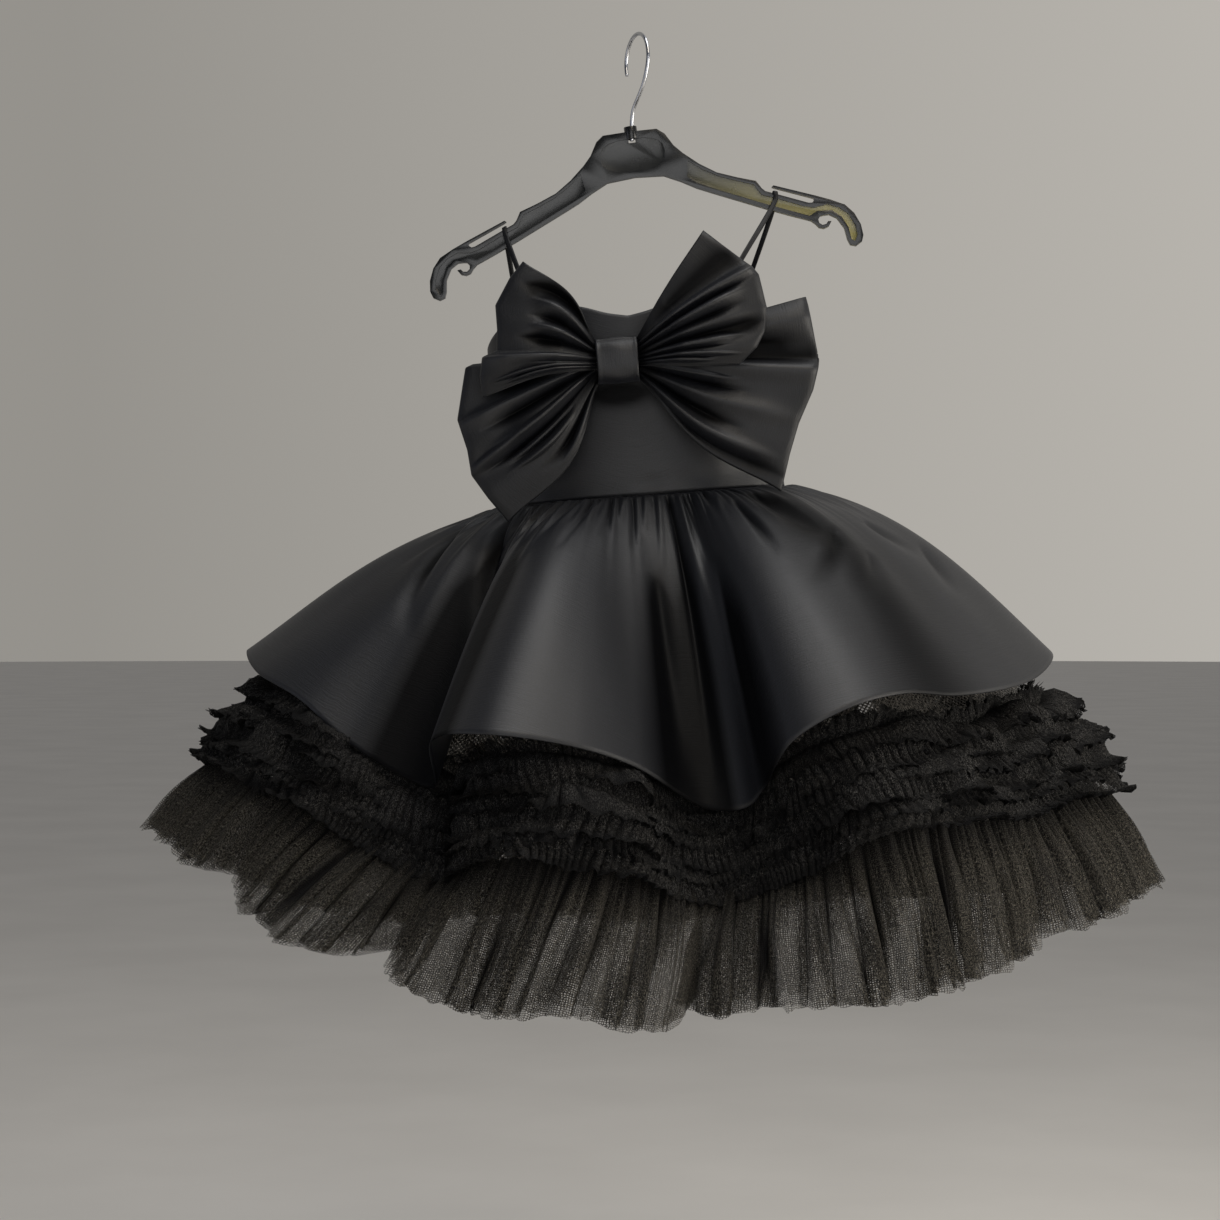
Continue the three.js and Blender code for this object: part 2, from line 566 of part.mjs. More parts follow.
function bowKnot() {
  const across = [-0.5, -0.18, 0.18, 0.5];
  const round = (value) => Math.sign(value) * Math.abs(value) ** knot.squareness;
  const grid = [...Array(knot.columns).keys()].map((i) => {
    const angle = (2 * Math.PI * i) / knot.columns;
    return across.map((place) => {
      const swell = 1 + knot.swell * Math.cos(Math.PI * place);
      return vector(
        knot.x + knot.width * place,
        knot.y - knot.halfDepth * swell * round(Math.cos(angle)),
        knot.z + knot.halfHeight * swell * round(Math.sin(angle)),
      );
    });
  });
  return named('bow_knot', clothWall(grid, wall.satin, true), satin());
}

// ---------------------------------------------------------------- straps

function placed(point, hang) {
  const turned = point.clone().applyAxisAngle(vector(0, 1, 0), -degToRad(hang.tilt));
  return turned.add(vector(hang.x, 0, hang.z));
}

// A flat ribbon: points along its middle, each with the direction of its width.
function ribbon(stations, width, thickness) {
  const loops = stations.map(({ at, wide }, i) => {
    const before = stations[Math.max(i - 1, 0)].at;
    const after = stations[Math.min(i + 1, stations.length - 1)].at;
    const along = after.clone().sub(before).normalize();
    const side = wide.clone().addScaledVector(along, -wide.dot(along)).setLength(width / 2);
    const face = along.clone().cross(side).setLength(thickness / 2);
    return [[1, 1], [1, -1], [-1, -1], [-1, 1]].map(([a, b]) => (
      at.clone().addScaledVector(side, a).addScaledVector(face, b)));
  });
  return loft(loops, false);
}

function makeStrap(end) {
  const hangerWide = vector(1, 0, 0).applyAxisAngle(vector(0, 1, 0), -degToRad(hangerHang.tilt));
  const [slotAcross, slotUp] = notchSlotEnd;
  const slope = Math.atan2(slotUp - notchUp, slotAcross - notchAcross) * end.side;
  const armWide = hangerWide.clone().applyAxisAngle(vector(0, 1, 0), -slope);
  const overArm = (y, rise) => ({
    at: placed(vector(end.side * notchAcross, y, notchUp + rise), hangerHang),
    wide: armWide,
  });
  const sewn = (turn) => {
    const top = topOfBodice(turn);
    const wide = bodicePoint(turn + 1, top).sub(bodicePoint(turn - 1, top)).setZ(0);
    wide.multiplyScalar(Math.sign(wide.x));
    return [top - strap.sewnDown, top + strap.standsOver].map((height) => (
      { at: placed(bodicePoint(turn, height, strap.inset), dressHang), wide }));
  };
  const halfArm = hangerThickness / 2;
  const clear = strap.armClear + strap.thickness / 2;
  const over = clear * 1.1;
  const corner = clear * 0.75;
  const side = halfArm + clear;
  const front = sewn(end.frontTurn);
  const back = sewn(end.backTurn).reverse();
  const stations = [
    ...front,
    overArm(-side, -strap.armDown),
    overArm(-side, -corner / 2),
    overArm(-halfArm - corner, corner),
    overArm(-halfArm, over),
    overArm(halfArm, over),
    overArm(halfArm + corner, corner),
    overArm(side, -corner / 2),
    overArm(side, -strap.armDown),
    ...back,
  ];
  return named(end.name, ribbon(stations, strap.width, strap.thickness), satin());
}

// ---------------------------------------------------------------- hanger

function hangerOutline() {
  const curlInside = arcPoints(curl.across, curl.up, curl.inner, [75, 120, 165, 210, 255, 300, 340]);
  const curlOutside = arcPoints(curl.across, curl.up, curl.outer, [345, 305, 270, 235, 200]);
  const right = [...armTop, ...strapNotch, ...armEnd, ...curlInside, ...curlOutside, ...armBottom];
  const left = right.slice(1, -1).reverse().map(([x, z]) => [-x, z]);
  return [...right, ...left];
}

function makeHanger() {
  const half = hangerThickness / 2;
  let body = toSolid(uprightPlate(hangerOutline(), -half, hangerThickness));
  const mirrored = armPocket.map(([x, z]) => [-x, z]);
  const centre = circlePoints(1, centrePocket.sides).map(([x, z]) => [
    centrePocket.halfWidth * Math.sign(x) * Math.abs(x) ** centrePocket.squareness,
    centrePocket.halfHeight * Math.sign(z) * Math.abs(z) ** centrePocket.squareness,
  ]);
  const pockets = [[armPocket, pocketDepth], [mirrored, pocketDepth], [centre, centrePocket.depth]];
  for (const [points, depth] of pockets) {
    body = body.subtract(toSolid(uprightPlate(points, -half - 1, depth + 1)));
    body = body.subtract(toSolid(uprightPlate(points, half - depth, depth + 1)));
  }
  const post = (radius, from, to) => {
    const shape = outlineShape(circlePoints(radius, neck.sides));
    const geometry = new THREE.ExtrudeGeometry(shape, { depth: to - from, bevelEnabled: false });
    return toSolid(geometry.translate(neck.across, 0, from));
  };
  body = body.add(post(neck.outer, neck.root, neck.top)).subtract(post(neck.inner, neck.bottom, neck.top + 1));
  const mesh = named('hanger', toGeometry(body), smokedPlastic());
  mesh.position.set(hangerHang.x, 0, hangerHang.z);
  mesh.rotation.y = -degToRad(hangerHang.tilt);
  return mesh;
}

function makeHook() {
  const turn = degToRad(hook.planeTurn);
  const inPlane = (forward, z, shift) => vector(
    forward * Math.sin(turn) + shift * hook.stemX, -forward * Math.cos(turn), z);
  const radius = hook.innerRadius + hook.wire;
  const bend = [];
  for (let angle = hook.backAngle; angle <= hook.frontAngle; angle += 15) {
    bend.push(inPlane(radius * Math.sin(degToRad(angle)), radius * Math.cos(degToRad(angle)) - hook.innerRadius, 0));
  }
  const stem = hookStem.map((row) => inPlane(row.forward, row.z, row.shift));
  const path = new THREE.CatmullRomCurve3([...bend, ...stem]);
  const section = outlineShape(circlePoints(hook.wire, hook.sides));
  const wire = new THREE.ExtrudeGeometry(section, { steps: 38, extrudePath: path, bevelEnabled: false });
  return named('hanger_hook', toGeometry(toSolid(wire)), steel());
}

// ---------------------------------------------------------------- zip

function makeZipTape() {
  const inset = (wall.bodice + wall.tape) / 2 + zip.tapeGap;
  const grid = [-1, -0.33, 0.33, 1].map((place) => {
    const turn = 180 + place * zip.tapeHalfTurn;
    return [0, 0.33, 0.67, 1].map((down) => bodicePoint(turn, lerp(zip.tapeTop, zip.tapeBottom, down), inset));
  });
  return named('zip_tape', clothWall(grid, wall.tape, false), tapeCloth());
}

const sliderY = () => bodicePoint(180, zip.sliderHeight).y + wall.bodice / 2 + zip.standOff;
const pinHeight = zip.sliderHeight + slider.pinUp;

function crossBar(radius, halfLength, y, z) {
  const shape = outlineShape(circlePoints(radius, 12));
  const geometry = new THREE.ExtrudeGeometry(shape, { depth: halfLength * 2, bevelEnabled: false });
  return toSolid(geometry.translate(0, 0, -halfLength).rotateY(Math.PI / 2).translate(0, y, z));
}

const boxSolid = (x, y, z, width, depth, height) => toSolid(
  new THREE.BoxGeometry(width, depth, height).translate(x, y, z));

function makeZipSlider() {
  const y = sliderY();
  const pinY = y + slider.depth + slider.pinOut;
  let body = boxSolid(0, y + slider.depth / 2, zip.sliderHeight, slider.width, slider.depth, slider.height);
  for (const side of [-1, 1]) {
    const x = side * (slider.earGap + slider.earWidth) / 2;
    const earY = y + slider.depth + slider.earDepth / 2 - 0.3;
    body = body.add(boxSolid(x, earY, pinHeight, slider.earWidth, slider.earDepth, slider.earHeight));
  }
  body = body.add(crossBar(slider.pinRadius, slider.earGap / 2 + 0.4, pinY, pinHeight));
  return named('zip_slider', toGeometry(body), blackMetal());
}

function makeZipPull() {
  const pinY = sliderY() + slider.depth + slider.pinOut;
  const half = pull.width / 2;
  const tab = [[-0.9, -1], [0.9, -1], [0.9, -pull.shoulder], [half, -pull.shoulder - 2], [half, -pull.length + 3],
    [half - 1.5, -pull.length + 0.6], [0, -pull.length], [1.5 - half, -pull.length + 0.6], [-half, -pull.length + 3],
    [-half, -pull.shoulder - 2], [-0.9, -pull.shoulder]];
  const outline = tab.map(([x, z]) => [x, z + pinHeight]);
  let body = crossBar(pull.lugRadius, pull.lugWidth / 2, pinY, pinHeight);
  body = body.add(toSolid(uprightPlate(outline, pinY - pull.thickness / 2, pull.thickness)));
  body = body.subtract(crossBar(pull.holeRadius, pull.lugWidth, pinY, pinHeight));
  return named('zip_pull', toGeometry(body), blackMetal());
}

// ---------------------------------------------------------------- the whole part

const dress = new THREE.Group();
dress.position.set(dressHang.x, 0, dressHang.z);
dress.rotation.y = -degToRad(dressHang.tilt);

const overskirtSurface = makeSkirt(overskirtFolds, 0, 1.3);
const petticoatSurface = makeSkirt(petticoatSwells.map((row) => ({ ...row, waist: row.turn })), netBase.inset, 1.2);

dress.add(...makeBodice());
dress.add(...makeOverskirt(overskirtSurface));
dress.add(...makeNetBase(petticoatSurface));
for (const ruffle of shortRuffles) dress.add(...makeShortRuffle(petticoatSurface, ruffle));
dress.add(...makeHemRuffle(petticoatSurface));
for (const loop of bowLoops) dress.add(bowLoop(loop));
dress.add(bowKnot(), makeZipTape(), makeZipSlider(), makeZipPull());

const part = new THREE.Group();
part.add(makeHanger(), makeHook(), dress);
for (const end of strapEnds) part.add(makeStrap(end));

export default part;
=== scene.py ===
"""The looks of a child's black satin pageant dress on its hanger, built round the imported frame.

Lengths in the tables are millimetres in the dress's own frame: its origin is the middle of the waist seam,
the dress faces -Y, and left is -X. A turn goes round from the centre front towards the right, in degrees.
"""

import math

import bpy
import numpy as np
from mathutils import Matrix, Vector
from mathutils.bvhtree import BVHTree


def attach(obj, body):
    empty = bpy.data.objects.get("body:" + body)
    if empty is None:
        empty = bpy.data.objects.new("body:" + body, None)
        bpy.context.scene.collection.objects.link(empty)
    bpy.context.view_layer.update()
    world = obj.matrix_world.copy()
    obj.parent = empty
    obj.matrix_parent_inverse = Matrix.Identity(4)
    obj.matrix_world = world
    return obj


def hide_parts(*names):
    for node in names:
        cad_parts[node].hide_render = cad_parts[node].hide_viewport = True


bl_info = {
    "name": "Pageant dress on hanger",
    "version": (1, 0, 0),
    "blender": (4, 5, 0),
    "location": "3D View > Sidebar > Pageant dress",
    "description": "Builds a black satin and tulle pageant dress on its hanger",
    "category": "Add Mesh",
}

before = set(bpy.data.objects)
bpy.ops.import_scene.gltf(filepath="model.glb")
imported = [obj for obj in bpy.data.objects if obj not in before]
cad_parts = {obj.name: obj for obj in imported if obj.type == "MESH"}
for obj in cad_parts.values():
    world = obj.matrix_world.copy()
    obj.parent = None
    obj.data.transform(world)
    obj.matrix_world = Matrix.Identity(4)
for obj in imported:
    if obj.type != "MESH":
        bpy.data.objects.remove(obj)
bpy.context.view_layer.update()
MM = 0.001
BODY = "dress"

# ---------------------------------------------------------------- the dress's sizes

DRESS_X, DRESS_Z, DRESS_TILT = 3, -342, 4.4
WAIST_WIDTH, WAIST_DEPTH = 106, 58
RIGHT_SEAM_TURN = 88
SEAM_GAP = 0.3
SATIN_THICKNESS, OVERSKIRT_THICKNESS, KNOT_THICKNESS, TAPE_THICKNESS = 1.3, 1.0, 1.2, 0.8

# Half width and half depth of the bodice at each height over the waist seam.
BODICE_SECTIONS = [(0, 106, 58), (45, 103, 60), (95, 105, 64), (145, 103, 64)]

# Turn, and height of the bodice's top edge there.
NECKLINE = [(0, 128), (8, 131), (18, 137), (43, 141), (62, 131), (90, 117), (129, 124), (155, 121),
            (180, 118)]

# The overskirt's hem, a row for each fold edge or hollow: turn, reach from the axis, drop under the waist
# seam, turn where that fold starts there, and crown, how far the satin bows out over a straight line.
OVERSKIRT_FOLDS = [
    (-88, 296, 90, -88, 10), (-75, 293, 106, -75, 10), (-66, 273, 127, -66, 12), (-59, 251, 160, -58, 12),
    (-46.5, 221, 192, -47, 12), (-37.5, 252, 158, -39, 16), (-26.5, 263, 155, -28, 20),
    (-15, 233, 168, -17, 18), (-5.4, 201, 187, -7, 14), (3, 182, 209, 1.5, 12), (9, 178, 220, 7, 12),
    (16, 188, 220, 13, 12), (18, 203, 208, 17, 14), (20, 243, 175, 23, 18), (28, 256, 157, 30, 22),
    (38, 260, 151, 38, 24), (48, 268, 156, 48, 24), (69, 280, 153, 68, 22), (86, 292, 138, 86, 21),
    (99, 284, 130, 99, 22), (112, 262, 152, 111, 20), (124, 226, 186, 123, 12), (134, 241, 170, 133, 16),
    (146, 262, 152, 145, 20), (160, 256, 155, 159, 20), (171, 224, 182, 171, 14),
    (180, 197, 208, 180, 12), (188, 216, 190, 188, 14), (200, 252, 157, 200, 20),
    (215, 262, 150, 214, 20), (227, 242, 170, 226, 14), (238, 215, 194, 237, 12),
    (246, 238, 166, 246, 12), (258, 276, 122, 258, 12),
]

# The petticoat, a row for each swell or hollow: turn, then reach, drop and crown at the net's lower edge,
# where the long ruffle is gathered on, and reach and drop at that ruffle's hem.
PETTICOAT_SWELLS = [
    (-88, 325, 170, 14, 379, 215), (-66, 287, 191, 14, 343, 252), (-55, 250, 225, 4, 333, 282),
    (-44, 226, 250, 2, 306, 304), (-30, 236, 241, 14, 281, 335), (-16.5, 235, 243, 16, 271, 341),
    (-5, 200, 262, 6, 264, 354), (9, 176, 276, 2, 241, 349), (17, 186, 270, 2, 259, 347),
    (25, 222, 258, 6, 272, 350), (33, 251, 243, 14, 279, 352), (43, 261, 240, 18, 286, 344),
    (56, 265, 245, 16, 299, 334), (72, 283, 240, 20, 326, 319), (88, 321, 243, 22, 356, 314),
    (101, 308, 238, 20, 352, 320), (114, 276, 236, 14, 331, 328), (126, 238, 252, 2, 300, 336),
    (139, 250, 240, 12, 289, 337), (152, 252, 238, 16, 283, 338), (166, 226, 250, 8, 273, 343),
    (180, 192, 267, 2, 259, 347), (193, 232, 245, 10, 271, 341), (206, 252, 236, 16, 283, 333),
    (220, 250, 233, 12, 293, 325), (236, 216, 252, 2, 298, 318), (247, 258, 222, 10, 320, 294),
    (260, 300, 190, 14, 352, 250),
]
NET_INSET = 3.4
OVERSKIRT_ROUND, PETTICOAT_ROUND = 1700, 1800

# Creases in the overskirt: turn at their start and end, where they start and end between the waist seam (0)
# and the hem (1), half width, and height, below zero for a trough.
OVERSKIRT_CREASES = [
    (-84, -82, 0.0, 0.30, 4, -3.0), (-77, -74, 0.0, 0.42, 4, -3.4), (-71, -68, 0.0, 0.26, 3, 2.6),
    (-66, -65, 0.0, 0.22, 3, -2.6), (-73, -59, 0.14, 0.62, 8, -7.0), (-61, -57, 0.0, 0.60, 5, 3.4),
    (-56, -43, 0.03, 0.62, 6, -8.0), (-51, -52, 0.0, 0.20, 2.2, 2.6), (-48, -51, 0.0, 0.26, 2.0, -3.0),
    (-45.5, -45.5, 0.18, 1.10, 9, -10.0), (-44, -50, 0.0, 0.34, 2.4, 3.4),
    (-41, -47, 0.0, 0.28, 2.0, -3.8), (-38, -44, 0.0, 0.40, 2.2, 3.6), (-35, -41, 0.0, 0.30, 2.0, -3.8),
    (-32, -38, 0.0, 0.38, 2.2, 3.4), (-29.5, -35, 0.0, 0.24, 1.8, -3.6), (-27, -33, 0.0, 0.40, 2.0, 3.0),
    (-24, -29, 0.0, 0.26, 1.8, -3.2), (-21.5, -26, 0.0, 0.20, 1.8, 2.6),
    (-18.5, -23, 0.0, 0.32, 2.2, -3.0), (-15, -19, 0.0, 0.16, 2.0, 2.4), (-11, -14, 0.0, 0.22, 2.2, -3.0),
    (-7, -9, 0.0, 0.14, 2.0, 2.2), (-3, -5, 0.0, 0.24, 2.2, -3.0), (1, -1, 0.0, 0.18, 2.0, 2.4),
    (10, 8.5, 0.0, 0.95, 3.4, -6.0), (13.5, 12, 0.0, 0.40, 2.6, 3.4), (15.5, 16.5, 0.0, 0.30, 2.4, -3.6),
    (6, 3, 0.0, 0.30, 2.4, 2.8), (18, 17.5, 0.0, 0.34, 2.6, -3.6), (13, 14, 0.15, 1.10, 9, 3.6),
    (1, 2, 0.30, 1.10, 9, -4.0), (19, 18, 0.30, 1.10, 9, -4.0), (21, 20, 0.0, 0.14, 2.4, 2.6),
    (24, 23, 0.0, 0.12, 2.0, -3.0), (27, 25, 0.03, 0.16, 2.6, 2.0), (30, 31, 0.12, 0.44, 3.5, -4.0),
    (34, 35, 0.0, 0.10, 3.0, -2.4), (38, 45, 0.08, 0.46, 11, -5.5), (49, 34, 0.34, 0.60, 8, -4.0),
    (52, 43, 0.46, 0.66, 9, -2.4), (78, 68, 0.46, 0.68, 10, -2.6), (52, 46, 0.0, 0.42, 8, 2.6),
    (66, 70, 0.30, 0.50, 9, -2.8), (64, 66, 0.0, 0.24, 5, -3.0), (74, 75, 0.0, 0.32, 4, 2.4),
    (81, 83, 0.0, 0.24, 3, -2.8), (92, 94, 0.0, 0.34, 4, -3.0), (99, 102, 0.0, 0.30, 3, 2.6),
    (105, 109, 0.0, 0.38, 4, -3.4), (112, 118, 0.0, 0.44, 3, 2.8), (118, 123, 0.0, 0.52, 5, -4.0),
    (125, 128, 0.0, 0.30, 2.4, 2.8), (129, 131, 0.0, 0.34, 2.4, -3.0), (133, 135, 0.0, 0.28, 2.2, 2.6),
    (138, 140, 0.0, 0.40, 3, -3.0), (144, 146, 0.0, 0.32, 3, 2.4), (150, 154, 0.0, 0.44, 6, -3.0),
    (158, 160, 0.0, 0.26, 2.4, 2.6), (163, 166, 0.0, 0.36, 3, -3.2), (168, 171, 0.0, 0.30, 2.2, 2.8),
    (173, 176, 0.0, 0.42, 3, -3.4), (178, 180, 0.0, 0.26, 2.2, 2.6), (184, 183, 0.0, 0.46, 4, -3.6),
    (190, 189, 0.0, 0.30, 2.4, 2.6), (196, 197, 0.0, 0.34, 3, -2.8), (203, 206, 0.0, 0.40, 7, -3.0),
    (209, 212, 0.0, 0.26, 3, 2.4), (216, 218, 0.0, 0.30, 3, -2.6), (222, 226, 0.0, 0.40, 4, 2.6),
    (229, 233, 0.0, 0.50, 5, -4.2), (236, 238, 0.0, 0.30, 2.4, 2.8), (242, 243, 0.0, 0.40, 4, -3.2),
    (249, 252, 0.0, 0.34, 3, 2.6), (256, 260, 0.0, 0.46, 7, -3.4), (264, 266, 0.0, 0.28, 3, 2.4),
]

# Painted shade for the deepest hollows between the overskirt's folds: turn at their start and end, where they
# start and end, half width as a turn, and how much shade is painted there. Below zero, painted shade is taken
# away there.
OVERSKIRT_PAINTED_SHADE = [
    (-34, -37, 0.20, 1.1, 3.6, 1.7), (-51, -52, 0.15, 1.1, 5.0, 1.6), (10, 8.5, 0.10, 1.2, 3.0, 1.1),
    (2.0, 0.5, 0.15, 1.2, 4.6, 1.1), (14.2, 14.2, 0.10, 1.3, 2.6, -1.2),
    (19.5, 19.0, 0.35, 1.1, 3.2, 1.1), (40, 45, 0.0, 0.45, 9, 1.1), (124, 124, 0.20, 1.1, 4, 1.1),
    (180, 180, 0.20, 1.1, 4, 1.1), (237, 237, 0.20, 1.1, 4, 1.1),
]

# Short ruffles: where each starts and ends down the net, and how far its edge stands out.
SHORT_RUFFLES = [("ruffle_1", 0.755, 0.87, 15), ("ruffle_2", 0.83, 0.955, 15), ("ruffle_3", 0.92, 1.03, 12)]
CLEAR_UNDER_SATIN = 4

# A short ruffle's strips of tulle. Each has its folds all round and their depth, how many folds they lean
# over at most, how ragged its edge is, and its section: rows of place down the ruffle, and distance out.
SHORT_STRIPS = [
    {"folds": 300, "depth": 7.0, "lean": 3.0, "ragged": 0.04,
     "section": [(0.0, 2), (0.06, 10), (0.2, 17), (0.42, 20), (0.66, 20), (0.86, 18), (0.98, 20), (1.1, 26)]},
    {"folds": 330, "depth": 6.0, "lean": 6.0, "ragged": 0.06,
     "section": [(0.04, 5), (0.10, 14), (0.24, 21), (0.40, 24), (0.54, 25), (0.66, 28)]},
    {"folds": 320, "depth": 4.5, "lean": 3.5, "ragged": 0.07,
     "section": [(0.06, 4), (-0.02, 9), (-0.10, 12), (-0.18, 16)]},
]

# The long ruffle's sheets: stand-off at top and hem, shortest and longest length, depth of its finer folds,
# and seed of their unevenness. They share their main folds.
HEM_SHEETS = [
    {"out": (-2.0, -5.0), "length": (0.97, 1.0), "small": 1.5, "seed": 410},
    {"out": (0.6, 0.0), "length": (0.93, 1.0), "small": 1.7, "seed": 420},
    {"out": (3.0, 4.0), "length": (0.86, 0.985), "small": 1.9, "seed": 430},
]
HEM_FOLDS, HEM_FOLD_DEPTH = 84, 12

# Gaps between the long ruffle's lobes: turn, half width there, how far the cloth draws back, and how much
# shorter it hangs, as a share.
HEM_GAPS = [
    (-66, 3.0, 24, 0.05), (-43, 3.4, 46, 0.07), (6, 3.0, 50, 0.08), (61, 3.0, 28, 0.06),
    (99, 3.5, 24, 0.04), (126, 4.0, 44, 0.06), (155, 3.0, 22, 0.04), (180, 4.0, 46, 0.06),
    (208, 3.0, 22, 0.04), (236, 4.0, 42, 0.06),
]

# ---------------------------------------------------------------- the bow's sizes

KNOT_X, KNOT_Y, KNOT_Z = -10.5, -81, 95
KNOT_WIDTH, KNOT_HALF_HEIGHT, KNOT_HALF_DEPTH = 29, 15, 13.5

# Loops of the bow. A root is its x, its top and bottom z, and its y. Each row is a point of the outer edge:
# its place from the top (0) to the bottom (1), x and z, how far the pleat line to it bows sideways, and how
# far that stands forward. Each pleat is: place at the knot and at the outer edge, where it starts and ends on
# the way out, half width over and under it, and height, below zero for a trough. A narrow side is a fold's
# sharp edge.
BOW_LOOPS = {
    "bow_upper_left": {
        "flat": (0.205, 0.070),
        "root": (-24, 107, 90, -83), "out_y": -100, "puff": 6,
        "rows": [
            (0, -71, 167, 8.5, 2), (0.13, -81, 156, 7.5, 5), (0.30, -92.5, 138, 5, 3),
            (0.44, -92.5, 121, 3, 5), (0.57, -94, 106, 1, 4), (0.62, -104.5, 102, 0.5, 5),
            (0.80, -107, 89, 2, 6), (1, -106.5, 75, 4.3, 1),
        ],
        "pleats": [
            (0.04, 0.13, 0.15, 0.95, 0.05, 0.07, -5.5), (0.14, 0.22, 0.0, 0.80, 0.03, 0.05, 3.2),
            (0.26, 0.33, 0.0, 0.75, 0.05, 0.03, -3.0), (0.34, 0.40, 0.0, 0.72, 0.022, 0.045, 4.2),
            (0.44, 0.49, 0.0, 0.85, 0.03, 0.05, -4.2), (0.60, 0.63, 0.0, 1.1, 0.010, 0.09, 4.6),
            (0.70, 0.74, 0.0, 0.60, 0.02, 0.03, -2.6), (0.80, 0.89, 0.0, 0.95, 0.012, 0.016, 3.2),
            (0.845, 0.915, 0.0, 0.90, 0.012, 0.012, -2.6), (0.90, 0.955, 0.0, 0.85, 0.010, 0.016, 3.0),
        ],
    },
    "bow_upper_right": {
        "flat": (0.21, 0.085),
        "root": (3, 107, 90, -83), "out_y": -100, "puff": 6,
        "rows": [
            (0, 56, 179, -1, 2), (0.12, 68, 168, 0, 5), (0.33, 88, 151, 0, 3), (0.42, 92, 145, 0, 7),
            (0.60, 96, 122, 0, 3), (0.72, 93, 105, 0, 4), (0.84, 87, 95, 0, 5), (1, 74, 84, 1, 1),
        ],
        "pleats": [
            (0.10, 0.19, 0.2, 1.2, 0.08, 0.07, -2.4), (0.22, 0.335, 0.0, 1.2, 0.018, 0.040, 5.0),
            (0.31, 0.40, 0.0, 1.0, 0.025, 0.025, -3.4), (0.38, 0.455, 0.0, 0.92, 0.018, 0.040, 4.0),
            (0.47, 0.53, 0.0, 0.9, 0.03, 0.03, -3.6), (0.54, 0.60, 0.2, 1.0, 0.04, 0.04, 2.2),
            (0.62, 0.66, 0.1, 1.1, 0.03, 0.05, -3.6), (0.68, 0.72, 0.0, 0.9, 0.016, 0.035, 3.6),
            (0.76, 0.80, 0.0, 0.8, 0.02, 0.02, -2.6), (0.81, 0.90, 0.0, 0.95, 0.010, 0.016, 3.2),
            (0.865, 0.93, 0.0, 0.8, 0.012, 0.012, -2.6), (0.91, 0.96, 0.0, 0.75, 0.010, 0.020, 3.0),
        ],
    },
    "bow_lower_left": {
        "flat": (0.25, 0.095),
        "root": (-24, 99, 83, -74), "out_y": -77, "puff": 4.5,
        "rows": [
            (0, -113, 100, 2, 0), (0.06, -118, 98, 1, 2), (0.30, -126.5, 62, 0, 1),
            (0.47, -121, 40, -3, 5), (0.60, -119.5, 22, -6, 2), (0.80, -109, 5, -10, 4),
            (1, -96, -13, -14.5, 0),
        ],
        "pleats": [
            (0.18, 0.22, 0.3, 0.9, 0.05, 0.05, -3.0), (0.28, 0.33, 0.0, 1.1, 0.016, 0.06, 4.4),
            (0.38, 0.42, 0.1, 0.92, 0.04, 0.03, -3.6), (0.48, 0.58, 0.0, 1.1, 0.014, 0.045, 4.6),
            (0.53, 0.52, 0.45, 0.9, 0.030, 0.020, 3.0), (0.60, 0.645, 0.1, 0.95, 0.025, 0.020, -4.4),
            (0.64, 0.67, 0.35, 0.84, 0.014, 0.03, 3.6), (0.70, 0.70, 0.3, 0.80, 0.02, 0.02, -3.6),
            (0.78, 0.735, 0.3, 0.84, 0.03, 0.016, 3.8), (0.88, 0.86, 0.0, 0.7, 0.03, 0.05, -3.0),
            (0.95, 0.94, 0.0, 0.6, 0.03, 0.03, 2.4),
        ],
    },
    "bow_lower_right": {
        "flat": (0.28, 0.100),
        "root": (3, 99, 83, -74), "out_y": -77, "puff": 4.5,
        "rows": [
            (0, 126, 130, -2, 0), (0.05, 127, 124, -1, 2), (0.28, 132, 85, 1, 1), (0.31, 131, 80, 1, 3),
            (0.45, 126, 64, 3, 4), (0.62, 114, 41, 5, 2), (0.80, 106, 20, 8, 4), (1, 98, -6, 10.5, 0),
        ],
        "pleats": [
            (0.10, 0.10, 0.55, 1.2, 0.05, 0.06, 3.0), (0.16, 0.19, 0.4, 1.0, 0.05, 0.04, -3.2),
            (0.24, 0.285, 0.2, 1.4, 0.06, 0.020, -2.6), (0.30, 0.31, 0.3, 1.4, 0.02, 0.06, 2.4),
            (0.42, 0.43, 0.0, 0.62, 0.02, 0.04, 3.4), (0.50, 0.50, 0.0, 0.7, 0.03, 0.03, -3.4),
            (0.60, 0.60, 0.1, 1.05, 0.05, 0.06, 3.4), (0.74, 0.74, 0.0, 0.75, 0.05, 0.05, -3.6),
            (0.86, 0.85, 0.0, 1.0, 0.03, 0.05, 3.0), (0.95, 0.93, 0.2, 1.1, 0.03, 0.03, -2.2),
        ],
    },
}

# ---------------------------------------------------------------- colour and nodes


def linear(hex_colour):
    """An sRGB hex colour as linear red, green, blue and alpha."""
    parts = [int(hex_colour[i:i + 2], 16) / 255 for i in (1, 3, 5)]
    return tuple(c / 12.92 if c <= 0.04045 else ((c + 0.055) / 1.055) ** 2.4 for c in parts) + (1.0,)


def add_node(tree, kind, settings=None, inputs=None):
    """Adds a node, with its settings and its inputs: a socket is linked, and a value is set."""
    node = tree.nodes.new(kind)
    for name, value in (settings or {}).items():
        setattr(node, name, value)
    for name, value in (inputs or {}).items():
        if isinstance(value, bpy.types.NodeSocket):
            tree.links.new(value, node.inputs[name])
        else:
            node.inputs[name].default_value = value
    return node


def new_material(name):
    material = bpy.data.materials.new(name)
    material.use_nodes = True
    material.node_tree.nodes.clear()
    return material, material.node_tree


def shader(tree, inputs):
    """Ends a material with its surface shader."""
    surface = add_node(tree, "ShaderNodeBsdfPrincipled", None, inputs).outputs["BSDF"]
    add_node(tree, "ShaderNodeOutputMaterial", None, {"Surface": surface})


